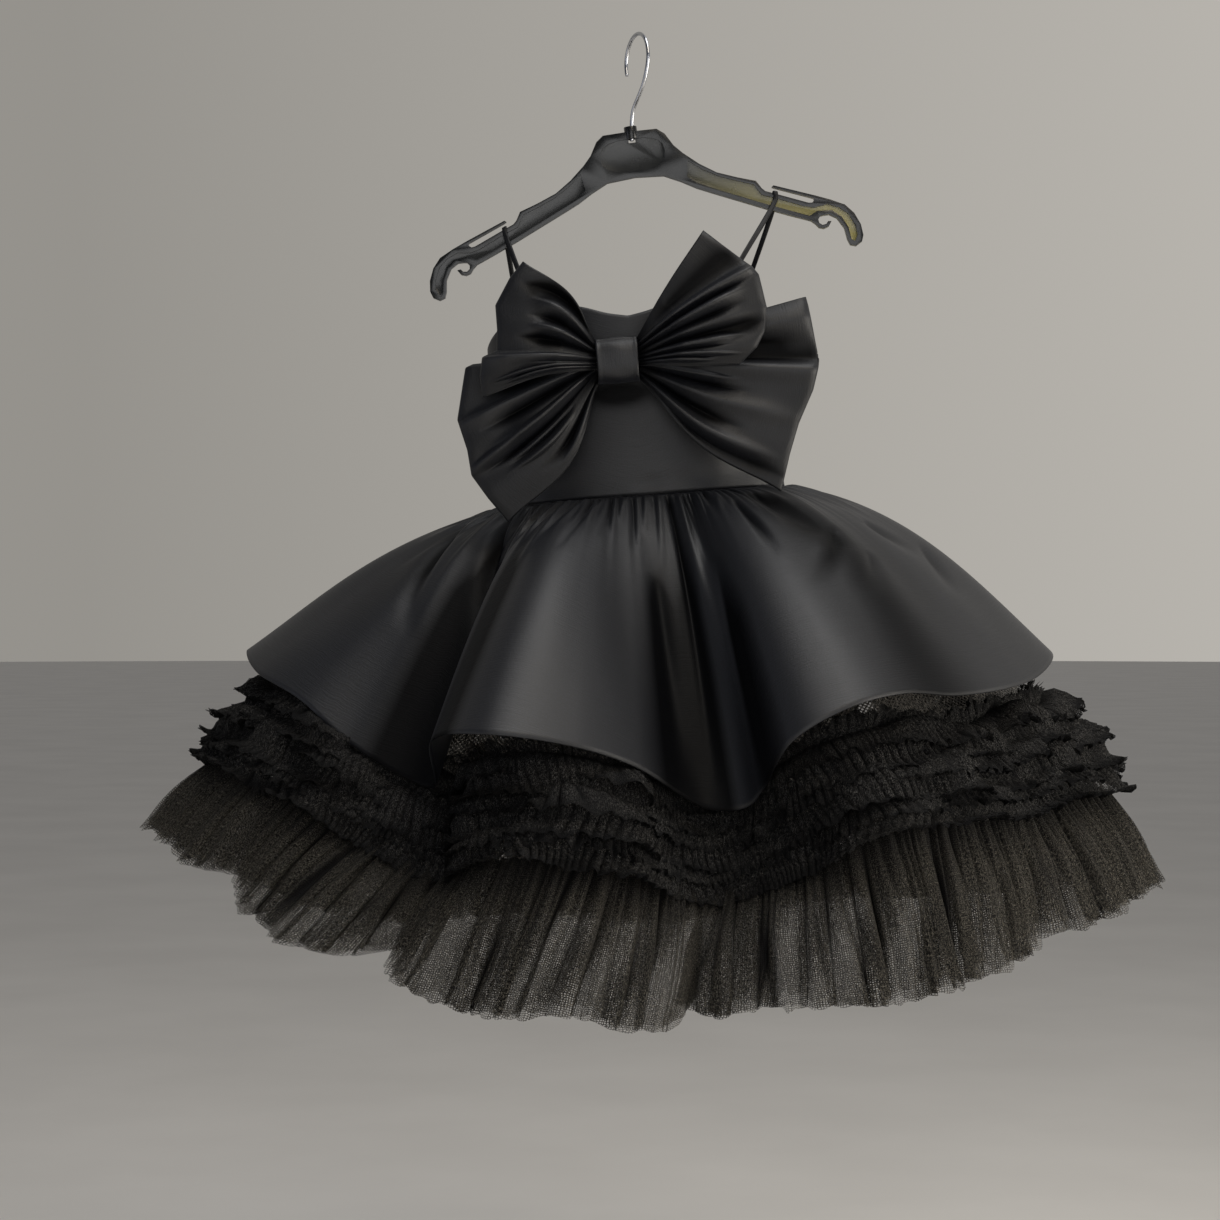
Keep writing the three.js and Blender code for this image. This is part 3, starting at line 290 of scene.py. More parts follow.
def on_cloth(tree):
    return add_node(tree, "ShaderNodeUVMap", {"uv_map": "cloth"}).outputs["UV"]


def on_object(tree):
    return add_node(tree, "ShaderNodeTexCoord").outputs["Object"]


def shade_of(tree, name):
    return add_node(tree, "ShaderNodeAttribute", {"attribute_name": name}).outputs["Fac"]


def stretched(tree, vector, scale, turn=0.0):
    return add_node(tree, "ShaderNodeMapping", None, {
        "Vector": vector, "Rotation": (0, 0, math.radians(turn)), "Scale": scale}).outputs["Vector"]


def parted(tree, vector):
    return add_node(tree, "ShaderNodeSeparateXYZ", None, {"Vector": vector}).outputs


def noise(tree, vector, scale, detail, roughness=0.5):
    return add_node(tree, "ShaderNodeTexNoise", None, {
        "Vector": vector, "Scale": scale, "Detail": detail, "Roughness": roughness}).outputs["Fac"]


def reached(tree, value, low, high, start=0.0, end=1.0):
    """Goes from low to high while the value goes from start to end."""
    return add_node(tree, "ShaderNodeMapRange", None, {
        "Value": value, "From Min": start, "From Max": end, "To Min": low, "To Max": high}).outputs["Result"]


def maths(tree, operation, *values, clamp=False):
    return add_node(tree, "ShaderNodeMath", {"operation": operation, "use_clamp": clamp},
                    dict(enumerate(values))).outputs["Value"]


def mixed(tree, factor, low, high):
    return add_node(tree, "ShaderNodeMix", {"data_type": "RGBA"}, {0: factor, 6: low, 7: high}).outputs[2]


def raised(tree, height, strength, distance, **normal):
    return add_node(tree, "ShaderNodeBump", None, {
        "Strength": strength, "Distance": distance, "Height": height, **normal}).outputs["Normal"]


def two_tones(tree, factor, low, high, low_at=0.35, high_at=0.65):
    ramp = add_node(tree, "ShaderNodeValToRGB", None, {"Fac": factor})
    for element, place, colour in zip(ramp.color_ramp.elements, (low_at, high_at), (low, high)):
        element.position = place
        element.color = colour
    return ramp.outputs["Color"]


def duchess_satin(tree, shade, rib_width):
    # Duchess satin: a heavy, tightly woven filament cloth. Long floats give a broad, soft, slightly crosswise
    # sheen, and the weft shows as faint ribs. The ribs are drawn coarser than the real 0.25 mm, so they show.
    uv = on_cloth(tree)
    rib = 1000 / rib_width
    slub = noise(tree, stretched(tree, uv, (rib / 14, rib, 1)), 1.0, 3.0, 0.6)
    grain = noise(tree, stretched(tree, uv, (rib * 1.1, rib * 1.1, 1)), 1.0, 1.0, 0.7)
    weave = raised(tree, maths(tree, "MULTIPLY_ADD", grain, 0.35, slub), 0.7, 0.00025)
    tone = two_tones(tree, grain, shade("satin"), shade("satin_light"), 0.35, 0.7)
    # Painted shade: a vertex value paints the base colour near black and turns the sheen down, standing in
    # for the shade deep in the folds, under the bow's knot and along the straps.
    hollow = shade_of(tree, "hollow")
    shader(tree, {
        "Base Color": mixed(tree, hollow, tone, linear("#020203")), "IOR": 1.5,
        "Roughness": reached(tree, slub, 0.45, 0.57), "Specular IOR Level": reached(tree, hollow, 0.62, 0.1),
        "Sheen Weight": 0.04, "Sheen Roughness": 0.45, "Sheen Tint": shade("satin_sheen"),
        "Normal": raised(tree, noise(tree, uv, 14.0, 2.0), 0.35, 0.0012, Normal=weave)})


def net_cloth(tree, colour, light, cell, thread, sheen, roughness, hard):
    # Knitted net: threads with open holes between them, seen through in the holes. The cells are drawn
    # coarser than the real ones, so that they show. Tulle has rounded cells, and hard net has square ones.
    uv = on_cloth(tree)
    scale = 1000 / cell
    if hard:
        split = parted(tree, stretched(tree, uv, (scale, scale, 1), 45))
        gap = maths(tree, "MINIMUM", *[maths(tree, "PINGPONG", split[axis], 0.5) for axis in "XY"])
    else:
        edges = {"feature": "DISTANCE_TO_EDGE", "voronoi_dimensions": "2D"}
        gap = add_node(tree, "ShaderNodeTexVoronoi", edges, {
            "Vector": uv, "Scale": scale, "Randomness": 0.55}).outputs["Distance"]
    # Painted glints: noise paints some threads in the lit glint colour.
    painted_glints = noise(tree, stretched(tree, uv, (scale * 1.9, scale * 0.75, 1)), 1.0, 2.0, 0.7)
    tone = two_tones(tree, painted_glints, colour, light, 0.45, 0.7)
    half_thread = thread / cell / 2
    cover = reached(tree, gap, 1.0, 0.06, half_thread * 0.7, half_thread * 1.5)
    if not hard:
        # Painted shade in the folds' grooves: where the crest value is low, the tulle is painted in its dark
        # colour, which stands in for shade, and made denser, as many layers lie over each other there.
        crest = shade_of(tree, "crest")
        tone = mixed(tree, crest, colour, tone)
        cover = maths(tree, "ADD", cover, reached(tree, crest, 0.7, -0.24), clamp=True)
    shader(tree, {
        "Base Color": tone, "Alpha": cover, "Specular IOR Level": 0.5 if hard else 0.18,
        "Roughness": reached(tree, noise(tree, uv, 90.0, 3.0), roughness - 0.1, roughness + 0.1),
        "Sheen Weight": sheen, "Sheen Roughness": 0.45, "Sheen Tint": light})


def smoked_plastic(tree, shade):
    # Polystyrene with a smoke tint, injection moulded: glossy, lets some light through its thin webs and
    # turns yellowish towards the end of the right arm. Its thick rims stay dark.
    place = on_object(tree)
    split = parted(tree, place)
    along = reached(tree, split["X"], 0.0, 1.0, 0.02, 0.14)
    web = two_tones(tree, along, shade("plastic"), shade("plastic_end"), 0.1, 0.95)
    rim = reached(tree, maths(tree, "ABSOLUTE", split["Y"]), 0.0, 1.0, 0.0018, 0.0024)
    cloud = noise(tree, place, 60.0, 3.0)
    shader(tree, {
        "Base Color": mixed(tree, rim, web, shade("plastic_rim")), "IOR": 1.59, "Transmission Weight": 0.45,
        "Roughness": reached(tree, cloud, 0.16, 0.34), "Normal": raised(tree, cloud, 0.15, 0.0004)})


def hard_finish(tree, colour, metallic, roughness, grain):
    # Plated steel wire, or lacquered zinc: an even finish with fine handling marks that soften its gloss.
    marks = noise(tree, on_object(tree), grain, 4.0)
    shader(tree, {
        "Base Color": colour, "Metallic": metallic, "IOR": 1.5,
        "Roughness": reached(tree, marks, roughness * 0.7, roughness * 1.5),
        "Normal": raised(tree, marks, 0.1, 0.0001)})


def zip_tape_cloth(tree, colour):
    # Woven polyester tape: a matt herringbone weave, drawn at twice its real 0.6 mm so that it shows.
    weave = add_node(tree, "ShaderNodeTexWave", None, {
        "Vector": on_cloth(tree), "Scale": 130.0, "Distortion": 1.5, "Detail": 1.0}).outputs["Fac"]
    lit = tuple(c * 1.8 for c in colour[:3]) + (1.0,)
    shader(tree, {
        "Base Color": two_tones(tree, weave, colour, lit), "Roughness": 0.85, "Sheen Weight": 0.2,
        "Normal": raised(tree, weave, 0.4, 0.0003)})


def studio_floor(tree):
    # A matt painted floor with a faint mottle.
    mottle = noise(tree, on_object(tree), 3.0, 4.0)
    tone = two_tones(tree, mottle, linear("#dedbd6"), linear("#e4e1dc"))
    shader(tree, {"Base Color": tone, "Roughness": 0.9})


def material_named(name):
    """The scene's materials, each made once."""
    if name in bpy.data.materials:
        return bpy.data.materials[name]
    sizes, colours = bpy.context.scene.pageant_sizes, bpy.context.scene.pageant_colours

    def shade(key):
        return tuple(getattr(colours, key))

    tulle, net = sizes.tulle_cell, sizes.net_cell
    maker, *facts = {
        "Duchess satin": (duchess_satin, shade, sizes.satin_rib),
        "Soft tulle": (net_cloth, shade("tulle"), shade("tulle_light"), tulle, 0.5, 0.1, 0.8, False),
        # The gathered tulle is the soft tulle painted darker and with less sheen: painted shade for the short
        # ruffles' deep, dense gathers.
        "Gathered tulle": (net_cloth, shade("ruche_shaded"), shade("ruche_shaded_glint"), tulle, 0.6, 0.02, 0.85, False),
        "Hard net": (net_cloth, shade("net"), shade("net_light"), net, 0.8, 0.4, 0.45, True),
        "Smoked polystyrene": (smoked_plastic, shade),
        "Plated steel wire": (hard_finish, shade("steel"), 1.0, 0.16, 700.0),
        "Lacquered zinc": (hard_finish, shade("zinc"), 0.6, 0.35, 1500.0),
        "Zip tape": (zip_tape_cloth, shade("tape")),
        "Pale studio floor": (studio_floor,),
    }[name]
    material, tree = new_material(name)
    maker(tree, *facts)
    return material


# ---------------------------------------------------------------- cloth helpers


def in_world(points):
    """Points in the dress's frame, in millimetres, to the row's frame in metres."""
    turn = math.radians(DRESS_TILT)
    x = points[..., 0] * math.cos(turn) - points[..., 2] * math.sin(turn) + DRESS_X
    z = points[..., 0] * math.sin(turn) + points[..., 2] * math.cos(turn) + DRESS_Z
    return np.stack([x, points[..., 1], z], -1) * MM


def spaced(grid, axis):
    """How far each point of a grid is along an axis of it, measured on the cloth."""
    steps = np.linalg.norm(np.diff(grid, axis=axis), axis=-1)
    start = np.zeros_like(np.take(steps, [0], axis=axis))
    return np.concatenate([start, np.cumsum(steps, axis=axis)], axis=axis)


def sheet_mesh(name, grids, material, **shades):
    """A cloth mesh of one or more layers, each a grid of rows and columns of points in the dress's frame.

    Each shade is a vertex value from 0 to 1 for the material, with an array for each layer: painted shade for
    the satin, and painted light and openness for the tulle.
    """
    points, faces, uvs, first = [], [], [], 0
    for grid in grids:
        rows, columns = grid.shape[:2]
        world = in_world(grid)
        across = spaced(world, 1)
        cloth = np.stack([across - across[:, :1], spaced(world, 0)], -1)
        cloth[..., 0] = across[rows // 2]
        index = np.arange(rows * columns).reshape(rows, columns) + first
        quads = np.stack([index[:-1, :-1], index[1:, :-1], index[1:, 1:], index[:-1, 1:]], -1)
        points.append(world.reshape(-1, 3))
        faces.append(quads.reshape(-1, 4))
        uvs.append(cloth.reshape(-1, 2))
        first += rows * columns
    points, faces, uvs = np.concatenate(points), np.concatenate(faces), np.concatenate(uvs)
    mesh = bpy.data.meshes.new(name)
    mesh.from_pydata(points.tolist(), [], faces.tolist())
    layer = mesh.uv_layers.new(name="cloth")
    layer.data.foreach_set("uv", uvs[faces.ravel()].astype(np.float32).ravel())
    for shade, layers in shades.items():
        values = np.concatenate([np.clip(part, 0, 1).ravel() for part in layers]).astype(np.float32)
        mesh.attributes.new(shade, "FLOAT", "POINT").data.foreach_set("value", values)
    mesh.polygons.foreach_set("use_smooth", np.ones(len(faces), bool))
    mesh.materials.append(material_named(material))
    mesh.update()
    piece = bpy.data.objects.new(name, mesh)
    bpy.context.scene.collection.objects.link(piece)
    return piece


def select_only(piece):
    bpy.ops.object.select_all(action="DESELECT")
    piece.select_set(True)
    bpy.context.view_layer.objects.active = piece


def apply_modifier(piece, name, kind, **settings):
    modifier = piece.modifiers.new(name, kind)
    for key, value in settings.items():
        setattr(modifier, key, value)
    select_only(piece)
    bpy.ops.object.modifier_apply(modifier=modifier.name)


def thicken(piece, thickness):
    """Gives a sheet its thickness, half to each side."""
    apply_modifier(piece, "Thickness", "SOLIDIFY", thickness=thickness * MM, offset=0.0,
                   use_even_offset=False)


def belongs(piece, slot, *nodes, body=BODY):
    """The piece rides with the dress and stands for the CAD nodes, which it hides. The slot is not used."""
    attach(piece, body)
    if nodes:
        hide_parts(*nodes)
    return piece


def hermite(w, low, high, start, end):
    """A smooth curve from low to high while w goes from 0 to 1, with its slopes at the start and the end."""
    return ((2 * w**3 - 3 * w**2 + 1) * low + (w**3 - 2 * w**2 + w) * start
            + (3 * w**2 - 2 * w**3) * high + (w**3 - w**2) * end)


def eased(place, places, values):
    """A smooth curve through a table's values."""
    places, values = np.asarray(places, float), np.asarray(values, float)
    slopes = np.gradient(values, places)
    i = np.clip(np.searchsorted(places, place, side="right") - 1, 0, len(places) - 2)
    span = places[i + 1] - places[i]
    w = np.clip((place - places[i]) / span, 0, 1)
    return hermite(w, values[i], values[i + 1], span * slopes[i], span * slopes[i + 1])


def drift(place, seed, lowest, highest, waves=6):
    """Smooth unevenness round a ring of length 1, between about -1 and 1, the same for the same seed."""
    random = np.random.default_rng(seed)
    total = np.zeros_like(place, dtype=float)
    for _ in range(waves):
        total += np.sin(2 * np.pi * (random.integers(lowest, highest) * place + random.random()))
    return total / math.sqrt(waves)


def rise_and_fall(place, start, end):
    """0 outside start to end, rising to 1 between them, with a soft start and a longer fade."""
    w = np.clip((place - start) / (end - start), 0, 1)
    return np.sin(np.pi * w**0.6) ** 1.3


# ---------------------------------------------------------------- skirts


class Skirt:
    """A skirt's surface from the waist seam to its lower edge. A place goes from 0 to 1 along that edge."""

    def __init__(self, rows, inset, start_drop):
        self.half_width = WAIST_WIDTH - inset
        self.half_depth = WAIST_DEPTH - inset
        self.start_drop = start_drop
        turn, reach, drop, waist, crown = (np.array(column, float) for column in zip(*rows))
        angle = np.radians(turn)
        self.rows = np.stack([reach * np.sin(angle), -reach * np.cos(angle), -drop, crown, waist], -1)
        self.count = len(rows)
        self.fine = np.linspace(0, 1, 4001)
        edge = self.read(self.fine)
        steps = np.linalg.norm(np.diff(edge[:, :3], axis=0), axis=1)
        self.lengths = np.concatenate([[0], np.cumsum(steps)])
        self.lengths /= self.lengths[-1]
        self.turns = edge[:, 4]

    def row(self, index):
        values = self.rows[index % self.count].copy()
        values[..., 4] += 360 * (index // self.count)
        return values

    def read(self, t):
        """The table's values between its rows, on a smooth curve through them."""
        place = t * self.count
        i = np.floor(place).astype(int)
        w = (place - i)[:, None]
        before, low, high, after = (self.row(i + k) for k in (-1, 0, 1, 2))

        def gap(a, b):
            return np.sqrt(np.linalg.norm(b[:, :3] - a[:, :3], axis=1))[:, None]

        d0, d1, d2 = gap(before, low), gap(low, high), gap(high, after)
        start = ((low - before) / d0 - (high - before) / (d0 + d1) + (high - low) / d1) * d1
        end = ((high - low) / d1 - (after - low) / (d1 + d2) + (after - high) / d2) * d1
        return hermite(w, low, high, start, end)

    def along(self, place):
        return np.floor(place) + np.interp(place % 1, self.lengths, self.fine)

    def place_of_turn(self, turn):
        return float(np.interp(np.interp(turn, self.turns, self.fine), self.fine, self.lengths))

    def frame(self, place):
        """The surface's top edge, lower edge, outward direction, crown and turn at places round it."""
        values = self.read(self.along(place))
        angle = np.radians(values[:, 4])
        top = np.stack([self.half_width * np.sin(angle), -self.half_depth * np.cos(angle),
                        np.full(len(angle), -float(self.start_drop))], -1)
        fall = values[:, :3] - top
        run = np.hypot(fall[:, 0], fall[:, 1])
        outward = np.stack([fall[:, 0] / run * -fall[:, 2], fall[:, 1] / run * -fall[:, 2], run], -1)
        outward /= np.linalg.norm(outward, axis=1)[:, None]
        return top, values[:, :3], outward, values[:, 3], values[:, 4]

    def grid(self, place, down):
        """Points of the surface: a row for each down, a column for each place."""
        top, bottom, outward, crown, _ = self.frame(place)
        if np.ndim(down) == 1:
            down = np.repeat(down[:, None], len(place), 1)
        bow = np.where(down < 1, crown * np.sin(np.pi * np.clip(down, 0, 1) ** 0.75), 0)
        return top + (bottom - top) * down[..., None] + outward * bow[..., None]


OVERSKIRT = Skirt(OVERSKIRT_FOLDS, 0, 1.3)
PETTICOAT = Skirt([(turn, reach, drop, turn, crown) for turn, reach, drop, crown, _, _ in PETTICOAT_SWELLS],
                  NET_INSET, 1.2)
HEM = Skirt([(turn, reach, drop, turn, 0) for turn, _, _, _, reach, drop in PETTICOAT_SWELLS], NET_INSET, 1.2)


def halves(skirt, columns, circumference):
    """Places round a skirt for its front and its back piece, with a gap at each side seam."""
    gap = SEAM_GAP / circumference / 2
    right = skirt.place_of_turn(RIGHT_SEAM_TURN)
    return {"front": np.linspace(gap, right - gap, columns),
            "back": np.linspace(right + gap, 1 - gap, columns)}


def make_overskirt(end, place, rows):
    down = np.linspace(0, 1, rows) ** 1.15
    grid = OVERSKIRT.grid(place, down)
    _, _, outward, _, turns = OVERSKIRT.frame(place)
    across = spaced(grid, 1)
    rise = np.zeros(grid.shape[:2])
    for turn, end_turn, start, stop, half_width, height in OVERSKIRT_CREASES:
        w = np.clip((down - start) / (stop - start), 0, 1)
        centre = turn + (end_turn - turn) * w
        if centre.max() < turns[0] - 15 or centre.min() > turns[-1] + 15:
            continue
        middle = np.array([np.interp(c, turns, along, left=along[0] - 99, right=along[-1] + 99)
                           for c, along in zip(centre, across)])
        wide = half_width * (0.55 + 0.9 * w)
        if start == 0:
            strength = np.clip(down / 0.03, 0, 1) * (1 - w) ** 0.8
        else:
            strength = rise_and_fall(down, start, stop)
        rise += (height * strength)[:, None] * np.exp(-((across - middle[:, None]) / wide[:, None]) ** 2)
    ring = place[None, :] + 0.0 * down[:, None]
    fine = drift(ring + 0.004 * down[:, None], 11, 90, 190) * 1.1 * np.exp(-down[:, None] / 0.10)
    slack = drift(ring, 12, 8, 22) * 1.6 * np.sin(np.pi * down[:, None]) ** 2
    rise += (fine + slack) * np.clip(down / 0.02, 0, 1)[:, None]
    grid = grid + outward * rise[..., None]
    # Painted shade: the satin is painted darker where it lies deeper than its neighbours round the skirt, in
    # its troughs, in the listed hollows and just under the waist seam.
    ring = np.linspace(0, 1, 1200, endpoint=False)
    reach = np.linalg.norm(OVERSKIRT.frame(ring)[1][:, :2], axis=1)
    mean = sum(np.roll(reach, k) for k in range(-40, 41)) / 81
    deep = np.interp(place, ring, mean - reach, period=1)[None] / 26
    hollow = deep * np.clip(down[:, None] * 1.6, 0, 1) - np.minimum(rise, 0) / 6 - 0.12
    for turn, end_turn, start, stop, half_width, dark in OVERSKIRT_PAINTED_SHADE:
        w = np.clip((down - start) / (stop - start), 0, 1)
        off = (turns[None] - (turn + (end_turn - turn) * w)[:, None]) / half_width
        hollow += (dark * np.clip(w * 4, 0, 1) * np.clip((1.3 - w) * 3, 0, 1))[:, None] * np.exp(-(off**2))
    hollow += 0.45 * np.exp(-down[:, None] / 0.03)
    piece = sheet_mesh(f"overskirt_{end}_satin", [grid], "Duchess satin", hollow=[hollow])
    thicken(piece, OVERSKIRT_THICKNESS)
    return piece


def facing(grid):
    """The direction square to a grid's surface at each point, away from the dress's axis."""
    away = np.cross(np.gradient(grid, axis=1), np.gradient(grid, axis=0))
    away /= np.linalg.norm(away, axis=-1, keepdims=True)
    flip = np.sign((away * grid * np.array([1, 1, 0])).sum(-1, keepdims=True).mean())
    return away * flip


def pleats(ring, w, folds, lean, seed):
    """Soft folds round a ring, from -1 in their grooves to 1 on their crests, and how far each leans."""
    sway = 2.8 * drift(ring, seed, 5, 28) + 1.3 * drift(ring, seed + 1, 30, 90)
    slant = 2 * np.pi * lean * w * np.tanh(drift(ring, seed + 2, 3, 14))
    phase = 2 * np.pi * folds * ring + sway + slant
    size = np.clip(1 + 0.5 * drift(ring, seed + 3, 20, 110), 0.25, 1.7)
    crest = np.abs(np.cos(phase / 2)) ** 0.8
    return (2 * crest - 1.2) * size, np.sin(phase) * size


def satin_trees():
    """The overskirt's two halves, to find what lies under them."""
    trees = []
    for end in ("front", "back"):
        mesh = bpy.data.objects[f"overskirt_{end}_satin"].data
        trees.append(BVHTree.FromPolygons([v.co for v in mesh.vertices], [p.vertices for p in mesh.polygons]))
    return trees


def room_under(trees, base, outward, furthest, clear):
    """How far each point can stand out before it comes too near to the satin over it."""
    starts, ends = in_world(base), in_world(base + outward)
    room = np.full(base.shape[:2], float(furthest))
    for index in np.ndindex(room.shape):
        start, way = Vector(starts[index]), Vector(ends[index] - starts[index])
        for tree in trees:
            distance = tree.ray_cast(start, way, furthest * MM)[3]
            if distance is not None:
                room[index] = min(room[index], max(distance / MM - clear, 0.5))
    return np.minimum.reduce([np.roll(room, k, axis=1) for k in range(-3, 4)])


def make_short_ruffle(name, start, end, flare, place, seed, trees):
    crown = PETTICOAT.frame(place)[3]
    room = np.clip(crown / 10, 0.4, 1)[None]
    grids, painted_light_and_openness = [], []
    for k, strip in enumerate(SHORT_STRIPS):
        steps, distances = zip(*strip["section"])
        w = np.linspace(0, 1, len(steps))[:, None] + 0.0 * place[None]
        ring = place[None] + 0.0 * w
        edge = drift(place, seed + 40 + k, 70, 230)[None] + 0.8 * drift(place, seed + 50 + k, 5, 16)[None]
        part = np.array(steps)[:, None] + strip["ragged"] * edge * w**3 * np.sign(steps[-1] - steps[0])
        part = part + 0.13 * drift(place, seed + 70, 6, 19)[None] * np.sin(np.pi * w)
        base = PETTICOAT.grid(place, np.clip(start + (end - start) * part, 0, 1.2))
        outward = facing(base)
        rise, lean = pleats(ring, w, strip["folds"], strip["lean"], seed + 7 * k)
        fine = drift(ring + 0.001 * w, seed + 9 + k, 500, 900)
        out = np.array(distances)[:, None] * (flare + 6) / 24 * room
        out = out * np.clip(1 + 0.26 * drift(ring + 0.01 * w, seed + 60 + k, 8, 30), 0.5, 1.3)
        out = out + strip["depth"] * (0.35 + 0.65 * w) * 0.5 * rise + 0.35 * fine
        out = np.minimum(out, room_under(trees, base, outward, 60, CLEAR_UNDER_SATIN))
        along = np.gradient(base, axis=1) / (place[1] - place[0]) / strip["folds"]
        grids.append(base + outward * out[..., None] + along * (0.16 * lean)[..., None])
        # Painted light and shade in the crest value: lighter on the fold crests, darker in the grooves and at
        # the top and foot of each strip, where the ruffles shade each other.
        roll = np.sin(np.pi * np.clip(0.06 + 0.86 * w, 0, 1)) ** 2
        shade = 0.4 + 0.45 * rise + 0.2 * drift(ring + 0.03 * w, seed + 80 + k, 12, 60)
        painted_light_and_openness.append(shade * (0.04 + 0.96 * roll))
    return sheet_mesh(name, grids, "Gathered tulle", crest=painted_light_and_openness)


def make_hem_ruffle(end, place):
    _, start, _, _, turn = PETTICOAT.frame(place)
    hem = HEM.frame(place)[1]
    back, shorter = np.zeros(len(place)), np.zeros(len(place))
    for gap_turn, half_width, depth, share in HEM_GAPS:
        near = np.exp(-np.abs((turn - gap_turn + 180) % 360 - 180) ** 1.6 / half_width**1.6)
        back += depth * near
        shorter += share * near
    axis = hem * np.array([1, 1, 0])
    hem = hem - axis / np.linalg.norm(axis, axis=1)[:, None] * back[:, None]
    grids, painted_light_and_openness = [], []
    for sheet in HEM_SHEETS:
        seed, (shortest, longest) = sheet["seed"], sheet["length"]
        reach = 0.5 + 0.5 * np.tanh(1.1 * drift(place, seed, 9, 60))
        length = shortest + (longest - shortest) * reach + 0.006 * drift(place, seed + 1, 40, 220) - shorter
        w = (np.linspace(0, 1, 14) ** 0.8)[:, None] + 0.0 * place[None]
        base = start[None] + (hem - start)[None] * (w * length[None])[..., None]
        outward = facing(base)
        level = outward * np.array([1, 1, 0])
        level /= np.linalg.norm(level, axis=-1, keepdims=True)
        outward = outward * (1 - w[..., None]) + level * w[..., None]
        ring = place[None] + 0.0 * w
        rise, lean = pleats(ring, w, HEM_FOLDS, 0.6, 330)
        small, _ = pleats(ring, w, HEM_FOLDS * 3.1, 1.6, seed + 2)
        fine = drift(ring + 0.002 * w, seed + 3, 420, 700)
        top_out, hem_out = sheet["out"]
        out = top_out + (hem_out - top_out) * w + 3.0 * np.sin(np.pi * w) ** 2
        out = out + 0.5 * rise * (2.4 + (HEM_FOLD_DEPTH - 2.4) * np.minimum(w / 0.7, 1))
        out = out + sheet["small"] * small * (1.0 - 0.3 * w) + 0.25 * fine
        along = np.gradient(base, axis=1) / (place[1] - place[0]) / HEM_FOLDS
        grids.append(base + outward * out[..., None] + along * (0.15 * w * lean)[..., None])
        # Painted shade in the crest value: darker in the folds' grooves and near the top, under the short
        # ruffles; lighter and more open towards the hem.
        shade = 0.8 + 0.7 * np.minimum(rise + 0.2, 0) + 0.45 * np.minimum(small + 0.3, 0)
        shade = shade + 0.22 * drift(ring + 0.02 * w, 350, 9, 50) + 0.5 * np.clip(w - 0.55, 0, 1)
        painted_light_and_openness.append(shade * np.clip(0.1 + 2.6 * w, 0, 1))
    return sheet_mesh(f"hem_ruffle_{end}_tulle", grids, "Soft tulle", crest=painted_light_and_openness)


# ---------------------------------------------------------------- bodice and bow


def bodice_point(turn, height):
    heights, widths, depths = zip(*BODICE_SECTIONS)
    angle = np.radians(turn)
    return np.stack([eased(height, heights, widths) * np.sin(angle),
                     -eased(height, heights, depths) * np.cos(angle), height], -1)


# Soft dents in the bodice: turn, height, half width, half height and depth.
BODICE_DENTS = [
    (4, 8, 9, 5, -1.2), (22, 10, 14, 6, -1.0), (-20, 22, 20, 14, 0.8), (-34, 8, 10, 6, -1.0),
    (46, 14, 16, 9, -1.4), (60, 70, 12, 40, 1.0), (78, 20, 12, 9, -1.6), (-62, 60, 12, 34, 1.0),
    (-76, 16, 12, 8, -1.6), (104, 24, 16, 9, -1.8), (128, 12, 14, 7, -1.5), (118, 78, 10, 30, 1.1),
    (148, 30, 18, 10, -1.6), (166, 60, 9, 36, 1.0), (194, 60, 9, 36, 1.0), (212, 26, 18, 10, -1.6),
    (234, 12, 14, 7, -1.4), (244, 80, 10, 30, 1.1), (258, 22, 16, 9, -1.8),
]


def make_bodice_panel(name, node, from_turn, to_turn, columns):
    turn = np.linspace(from_turn, to_turn, columns)[None] + np.zeros((56, 1))
    top = eased(np.abs(turn), *zip(*NECKLINE))
    level = np.linspace(1, 0, 56)[:, None] * np.ones((1, columns))
    grid = bodice_point(turn, level * top)
    outward = np.stack([np.sin(np.radians(turn)), -np.cos(np.radians(turn)) * WAIST_WIDTH / WAIST_DEPTH,
                        0 * turn], -1)
    outward /= np.linalg.norm(outward, axis=-1, keepdims=True)
    rise = np.zeros_like(turn)
    for dent_turn, height, half_width, half_height, depth in BODICE_DENTS:
        off = (turn - dent_turn + 180) % 360 - 180
        rise += depth * np.exp(-(off * 1.5 / half_width) ** 2 - ((level * top - height) / half_height) ** 2)
    # Painted shadow under the bow's knot, on the bodice's front only.
    knot_shadow = np.exp(-(((grid[..., 0] - KNOT_X) / 24) ** 2) - ((grid[..., 2] - KNOT_Z + 22) / 9) ** 2)
    hollow = 1.6 * knot_shadow * (grid[..., 1] < 0)
    piece = sheet_mesh(name, [grid + outward * rise[..., None]], "Duchess satin", hollow=[hollow])
    thicken(piece, SATIN_THICKNESS)
    return belongs(piece, "satin", node)


